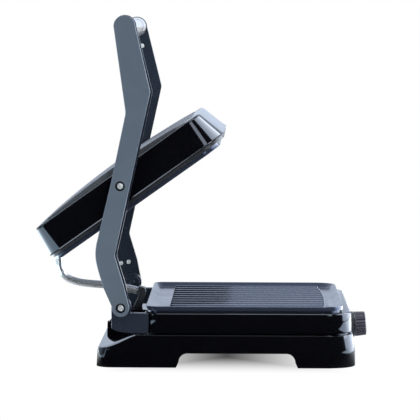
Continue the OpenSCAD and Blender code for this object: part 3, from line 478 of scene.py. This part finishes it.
shell = block(HOUSING_W, HOUSING_REAR, HOUSING_FRONT, HOUSING_FOOT, DECK_H, 20, 32)
for i in range(DECK_STEPS + 1):
    score(shell, (0, -(DECK_START + DECK_RUN * i / DECK_STEPS), 0), (0, 1, 0))
score(shell, (0, 0, DECK_H / 2), (0, 0, 1))
for v in shell.verts:       # both end walls lean in, the front one in its upper half only
    s = v.co.z / DECK_H
    if -v.co.y > 200:
        v.co.y += 3.6 * max(0, 2 * s - 1)
    elif -v.co.y < -18:
        v.co.y -= 2.3 * s
for x in (-DECK_EDGE, DECK_EDGE):
    score(shell, (x, 0, 0), (1, 0, 0))
for v in shell.verts:       # the deck, its outer edge drooping a little at the arms' feet
    if near(v.co.z, DECK_H):
        droop = 1.2 * math.exp(-((v.co.y - 3) / 15) ** 2) * max(0, abs(v.co.x) - DECK_EDGE) / 20
        v.co.z = deck_height(-v.co.y) - droop
shell.normal_update()
soften(shell, [e for e in shell.edges if min(v.co.z for v in e.verts) > REAR_EDGE_H - 4
               and e.calc_face_angle(0) > math.radians(45)], 2.4, 4)
channel = block(CHANNEL_W, HOUSING_REAR - 10, HOUSING_FRONT + 10, -5, ARCH_TOP)
arch = profile(arch_outline(ARCH_REAR, ARCH_FRONT, 4, ARCH_TOP, 11), -200, 200)
shell = carve(shell, arch, channel)
toe = [e for e in shell.edges
       if all(near(v.co.z, HOUSING_FOOT, 0.01) and -v.co.y > 252 for v in e.verts)
       and not all(near(abs(v.co.x), CHANNEL_W / 2, 0.1) for v in e.verts)]
soften(shell, toe, 8, 5)
piece("BaseShell", shell, TO_GRILL, GLOSS_BLACK, "base", "lower_housing", edge=1.2)

knob_turn = (TO_GRILL @ Matrix.Translation((0, -KNOB_U, KNOB_Z))
             @ Matrix.Rotation(math.radians(90 - KNOB_LEAN), 4, "X"))
pad = lathe([(0, -13), (17.4, -13), (17.4, -0.6), (16.8, 0), (0, 0)])
piece("KnobPad", pad, knob_turn, GLOSS_BLACK, "base")
bezel = lathe([(0, -0.5), (16.4, -0.5), (16.4, 1.6), (15.9, 2.2), (15.9, 2.8), (16.2, 3.3),
               (15.9, 4.2), (15.2, 4.6), (0, 4.6)], 72)
piece("KnobRing", bezel, knob_turn, SATIN_BLACK, "base", "knob_bezel")

tray = block(TRAY_W, TRAY_REAR, TRAY_FRONT + 1.6, TRAY_Z, TRAY_TOP, 17, 30)
for v in tray.verts:
    if -v.co.y > 200:
        v.co.y += 1.6 * (v.co.z - TRAY_Z) / (TRAY_TOP - TRAY_Z)
soften(tray, rim_edges(tray, TRAY_TOP), 2.6, 4)
soften(tray, rim_edges(tray, TRAY_Z), 1.6, 3)
tray = carve(tray, block(PLATE_W - 18, 37.9, 258.9, 60, 70, 6, 17))
plinth = block(TRAY_W - 6, TRAY_REAR + 3, TRAY_FRONT - 3, DECK_H - 0.5, TRAY_Z, 14, 27)
piece("DripTray", join(tray, plinth), TO_GRILL, GLOSS_BLACK, "base", "tray", smooth=30)


def grill_plate(top, middle, up):
    """A ribbed plate with a raised rim; up is 1 for the lower plate, -1 for the upper one."""
    bm = block(PLATE_W, -PLATE_D / 2, PLATE_D / 2, -7.8, 0, 13, 26)
    for z in (-4.9, -4.95):
        score(bm, (0, 0, z), (0, 0, 1))
    for v in bm.verts:      # the rim's outer skirt steps in below
        if v.co.z < -4.92:
            v.co.x -= math.copysign(RIM_STEP, v.co.x)
            v.co.y -= math.copysign(RIM_STEP, v.co.y)
    bmesh.ops.inset_region(bm, faces=faces_up(bm, 0), thickness=RIM_W, use_even_offset=True)
    floor_face = [max(faces_up(bm, 0), key=lambda f: f.calc_area())]
    bmesh.ops.inset_region(bm, faces=floor_face, thickness=7, depth=-FLOOR_DROP,
                           use_even_offset=True)
    soften(bm, rim_edges(bm, 0), 0.8, 3)
    soften(bm, rim_edges(bm, -FLOOR_DROP, 15), 1.5, 3)
    step = block(PLATE_W - 19, -PLATE_D / 2 + 9.5, PLATE_D / 2 - 9.5, -8.8, -7.6, 5.5, 16.5)
    bm = join(bm, step)
    for i in range(RIBS):       # the front ends of the ribs follow a slight bow
        x = (i - RIBS // 2) * RIB_PITCH
        bow = 6 * (2 * x / PLATE_W) ** 2
        u0, u1 = -PLATE_D / 2 + 27, PLATE_D / 2 - 17 - bow
        rib = cube((RIB_FOOT, u1 - u0, 4.0), Matrix.Translation((x, -(u0 + u1) / 2, -4.6)))
        for v in rib.verts:
            if v.co.z > -4:
                v.co.x += (RIB_TOP - RIB_FOOT) / 2 * (1 if v.co.x > x else -1)
                v.co.y += 2.2 * (1 if -v.co.y > 0 else -1)
        soften(rib, edges_where(rib, lambda a, b: abs(a.y - b.y) < 3 and near(a.x, b.x, 2.6)
                                and abs(a.z - b.z) > 1), 2.4, 4)
        soften(rib, [e for e in rib.edges if all(v.co.z > -2.7 for v in e.verts)
                     and e.calc_face_angle(0) > 0.5], 0.9, 3)
        bm = join(bm, rib)
    lay(bm, Matrix.Translation((0, -middle, top)) @ Matrix.Diagonal((1, 1, up, 1)))
    return bm


piece("LowerPlate", grill_plate(RIM_TOP, PLATE_U, 1), TO_GRILL, PLATE_COAT, "base", "lower_plate",
      smooth=25)

bracket_line = [(-12, 48.5), (-8, 46.4), (-2, 44.4), (5, 43.2), (15, 42.6), (27, 42.3),
                (27, 66.9), (11.2, 66.9)]
for i in range(13):
    a = math.radians(-22 + 202 * i / 12)
    bracket_line.append((BRACKET_R * math.cos(a), HINGE_H + BRACKET_R * math.sin(a)))
bracket = profile(bracket_line, *BRACKET_X)
score(bracket, (0, -20, 0), (0, 1, 0))
for v in bracket.verts:     # its outer side follows the tray's round corner
    if near(v.co.y, -27) and v.co.x > 150:
        v.co.x -= 3
        v.co.y -= 6
piece("HingeBrackets", mirrored(bracket), TO_GRILL, FRAME_BLACK, "base", "hinge_bracket_left",
      "hinge_bracket_right", edge=0.8)

hump = profile([(-23.7, 24.8), (27, 38), (27, 58), (-2, 58), (-16, 50), (-23.4, 40.7)], -34, 34)
soften(hump, edges_where(hump, lambda a, b: near(a.y, b.y) and near(a.z, b.z) and a.z > 39), 3, 5)
hole = rod(5.5, 20, Matrix.Translation((0, 10 - OUTLET_REAR, OUTLET_Z)) @ TO_FRONT, 40)
piece("CableHump", carve(hump, hole), TO_GRILL, GLOSS_BLACK, "base", "cable_housing", edge=1.6)
bush = lathe([(3.75, 0), (5.5, 0), (5.5, 8.6), (6.6, 8.8), (7.0, 9.4), (6.6, 10.1), (4.6, 10.4),
              (3.75, 9.8), (3.75, 0)], 40)
piece("CordBushing", bush, TO_GRILL @ Matrix.Translation((0, -OUTLET_REAR, OUTLET_Z)) @ TO_REAR,
      FOOT_RUBBER, "base", "cord_bushing")
piece("ConduitSocket", from_node("conduit_socket"), TO_GRILL, SATIN_BLACK, "base",
      "conduit_socket", edge=1.0)

for x, colour, name, node in ((34, RED_LENS, "PowerLamp", ["indicator_lenses"]),
                              (46, GREEN_LENS, "ReadyLamp", [])):
    lens = lathe([(0, 0), (2.9, 0), (2.9, 7.8), (2.5, 8.4), (1.4, 8.8), (0, 8.9)], 32)
    piece(name, lens, TO_GRILL @ Matrix.Translation((x, -LENS_U, LENS_Z)) @ TO_FRONT, colour,
          "base", *node)

piece("BottomCover", from_node("bottom_cover"), TO_GRILL, SATIN_BLACK, "base", "bottom_cover",
      edge=0.5, steps=2)
feet = bmesh.new()
for x in FEET_X:
    for u in FEET_U:
        foot = lathe([(0, 2.7), (8, 2.7), (8, 0.6), (7.5, 0.05), (5.6, 0.0), (5.0, 0.5),
                      (0, 0.5)], 40)
        feet = join(feet, lay(foot, Matrix.Translation((x, -u, 0))))
piece("RubberFeet", feet, TO_GRILL, FOOT_RUBBER, "base", "rubber_feet")

# ---------------------------------------------------------------- knob

GRIP_R, GRIP_START, GRIP_TOP = 15.6, 7.3, 19.3      # radius, start and end of the fluted skirt
FLUTE_TURN, FLUTE_DEPTH, GRIP_TAPER = 15, 0.075, 0.004     # degrees, and shares of the radius

grip = rod(GRIP_R, 14.2, Matrix.Translation((0, 0, 12.2)), 120)
for z in (GRIP_START, 6.7):
    score(grip, (0, 0, z), (0, 0, 1))
for v in grip.verts:
    turn = (math.degrees(math.atan2(v.co.y, v.co.x)) % FLUTE_TURN) / FLUTE_TURN
    if v.co.z > GRIP_START - 0.1 and v.co.xy.length > 14:
        v.co.xy *= ((1 - FLUTE_DEPTH * math.sin(math.pi * turn) ** 2)
                    * (1 - GRIP_TAPER * (v.co.z - GRIP_START)))
soften(grip, rim_edges(grip, GRIP_TOP), 1.0, 3)
cap = lathe([(0, 19.2), (12, 19.2), (12, 19.5), (11.4, 19.75), (0, 19.85)], 72)
ridge = cube((1.6, 9.4, 1.6), Matrix.Translation((0, 6.6, 19.1)))
soften(ridge, ridge.edges[:], 0.35, 2)
piece("KnobGrip", join(grip, cap, ridge), knob_turn, KNOB_SKIN, "knob", "knob", smooth=28)

# ---------------------------------------------------------------- arms

ARM_REAR = [(-20.6, 24.6), (-28.6, 51), (-30.8, 65.5), (-28.9, 78), (-11.4, 151.5), (5.9, 234.5)]
ARM_FRONT = [(37.6, 259.5), (-5.1, 63.6), (5.4, 29.2)]
HANDLE = (4.8, 337.7)
SCREW_PLACES = [(11.8, 312.7), (14, 215), (-5.9, 25.7), (-15.8, 24)]
FRAME_X, SEAM_X, COVER_X = 157.5, 164.5, 171.5      # an arm's inner face, its seam, its outer face
SCREW_FLOOR = 159.1                                 # floor of the frame's screw pockets


def arm_outline(trim):
    """The bent arm, seen from the side, its front edge moved back by trim."""
    top_r, foot_r = 13.4 - trim * 0.2, 11 - trim * 0.3
    top_u = HANDLE[0] - trim * 0.2
    points = list(ARM_REAR)
    for i in range(17):
        a = math.pi - math.pi * i / 16
        points.append((top_u + top_r * math.cos(a), HANDLE[1] + top_r * math.sin(a)))
    points += [(u - trim, v) for u, v in ARM_FRONT]
    for i in range(17):
        a = math.radians(12 - 200 * i / 16)
        points.append((foot_r * math.cos(a), foot_r * math.sin(a)))
    return [(u, v + HINGE_H) for u, v in points]


def arm_shape(x0, x1, trim=0.0):
    """One layer of an arm, its bends rounded."""
    bm = flat(arm_outline(trim), x0)
    for front, round_off in ((True, 2.5), (False, 7)):
        kinks = [v for v in bm.verts if v.calc_edge_angle(0) > math.radians(8)
                 and 90 < v.co.z < 380 and front == (-v.co.y > -8)]
        bmesh.ops.bevel(bm, geom=kinks, offset=round_off, offset_type="OFFSET", segments=5,
                        profile=0.5, affect="VERTICES", material=-1, clamp_overlap=True)
    return widened(bm, x1 - x0)


def across(bm, u=0, z=HINGE_H):
    """Lays a turned shape across the grill, its axis at this place."""
    return lay(bm, Matrix.Translation((0, -u, z)) @ TO_RIGHT)


for side, name in ((1, "right"), (-1, "left")):
    flip = Matrix.Diagonal((side, 1, 1, 1))
    inner = arm_shape(FRAME_X, SEAM_X)
    pockets = [pin(150, SCREW_FLOOR, 3.1, u, v + HINGE_H, 24) for u, v in SCREW_PLACES]
    inner = carve(inner, *pockets)
    hub = across(lathe([(0, 140.5), (6.6, 140.5), (7, 140.9), (7, 154.5), (9.1, 154.5),
                        (9.5, 154.9), (9.5, 158), (0, 158)], 48))
    piece("ArmFrame." + name, lay(join(inner, hub), flip), TO_GRILL, FRAME_BLACK, "arms",
          "arm_frame_" + name, edge=1.8, steps=4)
    outer = arm_shape(SEAM_X, COVER_X, 2.2)
    eyes = [pin(160, 180, 5.9, u, v + HINGE_H, 40) for u, v in ((0, 0), (PIVOT_U, PIVOT_V))]
    piece("ArmCover." + name, lay(carve(outer, *eyes), flip), TO_GRILL, SLATE, "arms",
          "arm_cover_" + name, edge=1.3)

tube = pin(-161.5, 161.5, 10, HANDLE[0], HANDLE[1] + HINGE_H, 64)
piece("HandleTube", tube, TO_GRILL, BRIGHT_TUBE, "arms", "handle_tube")
collar = lathe([(9.6, 132), (10.2, 132), (10.8, 138), (11.6, 144), (12.4, 150), (12.5, 156.8),
                (12, 157.3), (9.6, 157.3), (9.6, 132)], 64)
collar = across(collar, HANDLE[0], HANDLE[1] + HINGE_H)
piece("HandleCollars", mirrored(collar), TO_GRILL, BRIGHT_TUBE, "arms")


def screw_head(x, r, h, z):
    """A pan head with a cross recess, lying across the grill at height z and facing out at x."""
    bm = lathe([(0, 0), (r, 0), (r, h * 0.35), (r * 0.93, h * 0.68), (r * 0.72, h * 0.92),
                (r * 0.4, h), (0, h)], 32)
    bars = [cube((r * 1.15, r * 0.26, h), Matrix.Rotation(math.radians(turn), 4, "Z")
                 @ Matrix.Translation((0, 0, h))) for turn in (20, 110)]
    return lay(carve(bm, *bars), Matrix.Translation((x, 0, z)) @ TO_RIGHT)


heads = mirrored(screw_head(SEAM_X, 4, 2.6, HINGE_H))
shafts = mirrored(pin(136.5, 165, 2, 0, HINGE_H, 24))
piece("HingeScrews", join(heads, shafts), TO_GRILL, SCREW_STEEL, "arms", "hinge_screws",
      edge=0.15, steps=2)
nut = across(lathe([(0, 135.6), (3.2, 135.6), (3.4, 136.1), (3.4, 139), (9.3, 139.2), (9.5, 139.5),
                    (9.5, 140.3), (0, 140.4)], 48))
hexagon = pin(136.1, 139.3, 4.0, 0, HINGE_H, 6)
piece("HingeNuts", mirrored(join(nut, hexagon)), TO_GRILL, FRAME_BLACK, "arms", "hinge_nuts",
      edge=0.3, steps=2)
small = bmesh.new()
for u, v in SCREW_PLACES:
    small = join(small, lay(screw_head(0, 3, 1.4, 0), Matrix.Translation(
        (SCREW_FLOOR, -u, v + HINGE_H)) @ Matrix.Rotation(math.pi, 4, "Z")))
piece("FrameScrews", mirrored(small), TO_GRILL, SCREW_STEEL, "arms", "frame_screws",
      edge=0.1, steps=2)

# ---------------------------------------------------------------- lid

LID_W, LID_REAR, LID_FRONT, LID_EDGE, LID_TOP = 308, -119.645, 136.655, -20.8, 16.6
HOOD_WALL, HOOD_DEPTH = 2.6, 12.5           # the hood's wall, and its hollow's depth
SHEET_REAR, SHEET_MID, SHEET_RUN = -106.645, 3.805, 220.9
SHEET_STEPS, SHEET_CROWN = 20, 5.4
UPPER_U, UPPER_Z = 5.355, -30.2             # middle and rim of the upper plate

hood = block(LID_W, LID_REAR, LID_FRONT, LID_EDGE, LID_TOP, 17, 32, corner=16)


def draw_in(verts):
    """Leans the hood's two ends inward toward its top."""
    for v in verts:
        s = (v.co.z - LID_EDGE) / (LID_TOP - LID_EDGE)
        v.co.y += (11 * s * (max(0, -v.co.y - LID_FRONT + 32) / 32) ** 2
                   - 4 * s * max(0, LID_REAR + 17 + v.co.y) / 17)


draw_in(hood.verts)
soften(hood, rim_edges(hood, LID_TOP), 3.0, 5)
under = [min(hood.faces, key=lambda f: f.calc_center_median().z)]
bmesh.ops.inset_region(hood, faces=under, thickness=HOOD_WALL)
inner = raised(hood, under)
bmesh.ops.delete(hood, geom=under, context="FACES_ONLY")
bmesh.ops.translate(hood, vec=(0, 0, HOOD_DEPTH), verts=inner)
draw_in(inner)
piece("LidHood", hood, TO_LID, GLOSS_BLACK, "lid", "lid_housing", edge=0.6)

lip_z0, lip_z1 = LID_EDGE - 0.3, LID_EDGE + 1.6
lip = block(LID_W + 2.4, LID_REAR - 1, LID_FRONT + 1, lip_z0, lip_z1, 17.6, 32.6, corner=16)
soften(lip, rim_edges(lip, lip_z1), 1.15, 1)
soften(lip, rim_edges(lip, lip_z0), 0.5, 2)
lip = carve(lip, block(LID_W - 2 * HOOD_WALL, LID_REAR + HOOD_WALL, LID_FRONT - HOOD_WALL,
                       LID_EDGE - 5, -8, 14.4, 29.4))
piece("LidLip", lip, TO_LID, GLOSS_BLACK, "lid")

panel = block(LID_W - 18, SHEET_REAR, SHEET_REAR + SHEET_RUN, LID_TOP - 0.3, LID_TOP + 0.8,
              12.5, 23, corner=10)
for i in range(1, SHEET_STEPS):
    score(panel, (0, -SHEET_REAR - SHEET_RUN * i / SHEET_STEPS, 0), (0, 1, 0))
for v in panel.verts:       # a shallow crown from rear to front
    if v.co.z > LID_TOP:
        v.co.z += SHEET_CROWN * (1 - ((-2 * v.co.y - 2 * SHEET_MID) / SHEET_RUN) ** 2)
piece("LidTopSheet", panel, TO_LID, SHEET_STEEL, "lid", "lid_top_panel", edge=0.6, smooth=30)

skirt = block(LID_W - 4, LID_REAR + 2, LID_FRONT - 2, -25, LID_EDGE + 3, 15, 30)
skirt = carve(skirt, block(PLATE_W - 5.4, UPPER_U - 116.8, UPPER_U + 116.8, -30, -10, 10.3, 23.3))
piece("LidSkirt", skirt, TO_LID, SATIN_BLACK, "lid", "lid_skirt", edge=1.0)
piece("UpperPlate", grill_plate(UPPER_Z, UPPER_U, -1), TO_LID, PLATE_COAT, "lid", "upper_plate",
      smooth=25)

journal_end = 164.7
journal = lathe([(0, 140), (5, 140), (5, 156.6), (4.6, 157), (3.2, 157), (3.2, journal_end),
                 (0, journal_end)], 40)
piece("LidJournals", mirrored(across(journal, z=0)), TO_LID, PLATED, "lid", "lid_journals")
piece("JournalScrews", mirrored(screw_head(journal_end, 4, 2.6, 0)), TO_LID, SCREW_STEEL, "lid",
      "journal_screws", edge=0.15, steps=2)

# ---------------------------------------------------------------- conduit

# The conduit's middle line, (u, v): out of its socket, back, and up into the lid's ball
ROUTE = [(24, 1.2), (-0.6, 7.2), (-24, 10.9), (-47, 12.6212), (-63, 14.9), (-77.6, 20.8),
         (-85.2, 32.4), (-87, 47), (-91.3469, 69.5703)]
CONDUIT_R, BALL_R = 4.8, 7.5


def route_points(per=8):
    """The route as one smooth curve, with per points from each place to the next."""
    out = []
    for k in range(len(ROUTE) - 1):
        a, b = Vector(ROUTE[max(k - 1, 0)]), Vector(ROUTE[k])
        c, d = Vector(ROUTE[k + 1]), Vector(ROUTE[min(k + 2, len(ROUTE) - 1)])
        for j in range(per):
            s = j / per
            out.append(0.5 * (2 * b + (c - a) * s + (2 * a - 5 * b + 4 * c - d) * s * s
                              + (3 * b - a - 3 * c + d) * s ** 3))
    return out


line = route_points()[4:-3]
path = bpy.data.curves.new("path", "CURVE")
path.dimensions, path.bevel_depth, path.bevel_resolution = "3D", CONDUIT_R, 8
path.use_fill_caps = True
spline = path.splines.new("POLY")
spline.points.add(len(line) - 1)
for p, q in zip(spline.points, line):
    p.co = (0, -q.x, q.y + HINGE_H, 1)
path_obj = bpy.data.objects.new("path", path)
bpy.context.scene.collection.objects.link(path_obj)
pipe = bmesh.new()
graph = bpy.context.evaluated_depsgraph_get()
pipe_mesh = bpy.data.meshes.new_from_object(path_obj.evaluated_get(graph))
pipe.from_mesh(pipe_mesh)
bpy.data.objects.remove(path_obj)
bpy.data.curves.remove(path)
bpy.data.meshes.remove(pipe_mesh)
bmesh.ops.remove_doubles(pipe, verts=pipe.verts, dist=1e-4)
bmesh.ops.recalc_face_normals(pipe, faces=pipe.faces)
conduit = piece("CableConduit", pipe, TO_GRILL, CONDUIT_STEEL, None, "conduit_fixed",
                "conduit_loop", smooth=60)
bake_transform(conduit)
ball = lathe([(BALL_R * math.sin(math.radians(a)), -BALL_R * math.cos(math.radians(a)))
              for a in (0, 10, 20, 32, 45, 60, 75, 90, 105, 120, 135, 150, 165, 180)], 40)
piece("ConduitBall", ball, TO_LID @ Matrix.Translation((0, 118.545, -10.5)), SATIN_BLACK, "lid",
      "conduit_ball")

# ---------------------------------------------------------------- camera and light

scene = bpy.context.scene
scene.view_settings.view_transform = "Standard"

camera = bpy.data.objects.new("Camera", bpy.data.cameras.new("Camera"))
scene.collection.objects.link(camera)
scene.camera = camera
camera.data.sensor_width = 36
camera.data.lens = 210.714
camera.data.clip_end = 200
camera.location = (-3.09897, -0.04939, 0.40420)
camera.rotation_euler = [math.radians(a) for a in (85.8822, -0.1696, -89.1721)]


def soft_light(name, location, target, size, power, colour=(1, 1, 1)):
    """A square-cornered soft lamp turned to a target; size is across, then up."""
    data = bpy.data.lights.new(name, "AREA")
    data.shape, data.size, data.size_y = "RECTANGLE", *size
    data.energy, data.color = power, colour
    obj = bpy.data.objects.new(name, data)
    obj.location = location
    obj.rotation_euler = (Vector(target) - Vector(location)).to_track_quat("-Z", "Y").to_euler()
    scene.collection.objects.link(obj)


MIDDLE = (0, 0, 0.2)        # what most lamps look at
soft_light("TopLight", (-0.4, -0.1, 2.4), MIDDLE, (1.6, 1.6), 30)
soft_light("RearSideLight", (-1.3, 2.0, 0.9), MIDDLE, (1.4, 1.4), 18, (0.80, 0.93, 1.0))
soft_light("RearTopLight", (-0.2, 1.7, 2.2), MIDDLE, (1.0, 1.0), 14, (0.90, 0.95, 1.0))
soft_light("FrontSideLight", (-2.1, -0.82, 1.1), MIDDLE, (0.6, 1.3), 12, (0.92, 0.94, 1.0))
soft_light("FrontTopLight", (0.9, -1.9, 1.8), (0.9, 0, 0.15), (3.8, 1.1), 95, (0.86, 0.92, 1.0))
soft_light("FrontLight", (-0.1, -2.6, 0.8), MIDDLE, (0.8, 0.8), 9, (0.90, 0.95, 1.0))
soft_light("FarFrontLight", (0.9, -2.4, 0.5), (0, 0, 0.1), (3.2, 1.2), 75, (0.78, 0.87, 1.0))
# Two cards just over the floor, facing up, light the undersides at the rear and in front
soft_light("RearCard", (-0.22, 0.46, 0.01), (-0.22, 0.46, 1.0), (1.25, 0.3), 5, (0.72, 0.90, 1.0))
soft_light("FrontCard", (0.25, -0.76, 0.01), (0.25, -0.76, 1.0), (1.0, 0.9), 15,
           (0.76, 0.85, 1.0))

# The world: white to the camera, half strength on matt surfaces, and in gloss a cool white that
# comes from the far side (+x) and fades out on the near one
world = bpy.data.worlds.new("Studio")
scene.world = world
world.use_nodes = True
wt = world.node_tree
back = wt.nodes["Background"]
rays = add(wt, "ShaderNodeLightPath")
way = add(wt, "ShaderNodeTexCoord")
split = add(wt, "ShaderNodeSeparateXYZ")
fade = add(wt, "ShaderNodeMapRange", interpolation_type="SMOOTHSTEP", From_Min=-0.45, From_Max=0.25)
shine = add(wt, "ShaderNodeMath", operation="MULTIPLY")
plain = add(wt, "ShaderNodeMath", operation="MAXIMUM")
level = add(wt, "ShaderNodeMath", operation="MAXIMUM")
total = add(wt, "ShaderNodeMath", operation="MULTIPLY_ADD")
total.inputs[1].default_value = 0.5
hue = add(wt, "ShaderNodeMix", data_type="RGBA", A=(1, 1, 1, 1), B=(0.72, 0.82, 1.0, 1))
feed(wt, (way.outputs["Generated"], split.inputs["Vector"]),
     (split.outputs["X"], fade.inputs["Value"]), (fade.outputs["Result"], shine.inputs[0]),
     (rays.outputs["Is Glossy Ray"], shine.inputs[1]),
     (rays.outputs["Is Camera Ray"], plain.inputs[0]),
     (rays.outputs["Is Transmission Ray"], plain.inputs[1]),
     (shine.outputs[0], level.inputs[0]), (plain.outputs[0], level.inputs[1]),
     (rays.outputs["Is Diffuse Ray"], total.inputs[0]), (level.outputs[0], total.inputs[2]),
     (rays.outputs["Is Glossy Ray"], hue.inputs["Factor"]),
     (hue.outputs["Result"], back.inputs["Color"]), (total.outputs[0], back.inputs["Strength"]))

# The floor: matt paper to the object's light; to the camera a white emission with a painted
# shadow that darkens well under the grill; and in gloss a painted dark reflection on the near side
FLOOR_SIZE, FLOOR_GAP = 60, 0.0002
floor_mesh = bpy.data.meshes.new("Floor")
floor = bpy.data.objects.new("Floor", floor_mesh)
bm = bmesh.new()
bmesh.ops.create_grid(bm, x_segments=1, y_segments=1, size=FLOOR_SIZE)
bm.to_mesh(floor_mesh)
bm.free()
floor.location = (0, 0, -FLOOR_GAP)
scene.collection.objects.link(floor)
floor_paint = bpy.data.materials.new("FloorPaper")
floor_paint.use_nodes = True
ft = floor_paint.node_tree
paper = ft.nodes["Principled BSDF"]
paper.inputs["Base Color"].default_value = (0.8, 0.8, 0.8, 1)
paper.inputs["Roughness"].default_value = 0.9
paper.inputs["Specular IOR Level"].default_value = 0.1
seen = add(ft, "ShaderNodeLightPath")
place = add(ft, "ShaderNodeTexCoord")
spot = add(ft, "ShaderNodeSeparateXYZ")
ft.links.new(place.outputs["Object"], spot.inputs["Vector"])
# How deep a point lies inside the grill's footprint, which sets the painted shadow under the base
inside = add(ft, "ShaderNodeMath", operation="MINIMUM")
for k, (axis, middle, half) in enumerate((("X", 0.0, 0.155), ("Y", -0.027, 0.112))):
    away = add(ft, "ShaderNodeMath", operation="SUBTRACT")
    away.inputs[1].default_value = middle
    length = add(ft, "ShaderNodeMath", operation="ABSOLUTE")
    depth = add(ft, "ShaderNodeMath", operation="SUBTRACT")
    depth.inputs[0].default_value = half
    feed(ft, (spot.outputs[axis], away.inputs[0]), (away.outputs[0], length.inputs[0]),
         (length.outputs[0], depth.inputs[1]), (depth.outputs[0], inside.inputs[k]))
# The camera sees only this emission, its white darkened inside the footprint: a painted shadow
painted_shadow_fade = add(ft, "ShaderNodeMapRange", interpolation_type="SMOOTHSTEP", From_Min=0.145,
                 From_Max=-0.045)
sheet = add(ft, "ShaderNodeEmission", Strength=1.0)
# Glossy rays see black emission instead of the lit paper on the near side: a painted dark
# reflection
painted_dark_fade = add(ft, "ShaderNodeMapRange", interpolation_type="SMOOTHSTEP", From_Min=0.10,
                From_Max=-0.20)
hidden = add(ft, "ShaderNodeMath", operation="MULTIPLY")
painted_black_reflection = add(ft, "ShaderNodeEmission", Strength=0.0)
direct = add(ft, "ShaderNodeMixShader")
mirror = add(ft, "ShaderNodeMixShader")
feed(ft, (inside.outputs[0], painted_shadow_fade.inputs["Value"]),
     (painted_shadow_fade.outputs["Result"], sheet.inputs["Color"]),
     (spot.outputs["X"], painted_dark_fade.inputs["Value"]),
     (painted_dark_fade.outputs["Result"], hidden.inputs[0]),
     (seen.outputs["Is Glossy Ray"], hidden.inputs[1]),
     (seen.outputs["Is Camera Ray"], direct.inputs[0]), (paper.outputs[0], direct.inputs[1]),
     (sheet.outputs[0], direct.inputs[2]), (hidden.outputs[0], mirror.inputs[0]),
     (direct.outputs[0], mirror.inputs[1]), (painted_black_reflection.outputs[0], mirror.inputs[2]),
     (mirror.outputs[0], ft.nodes["Material Output"].inputs["Surface"]))
floor_mesh.materials.append(floor_paint)
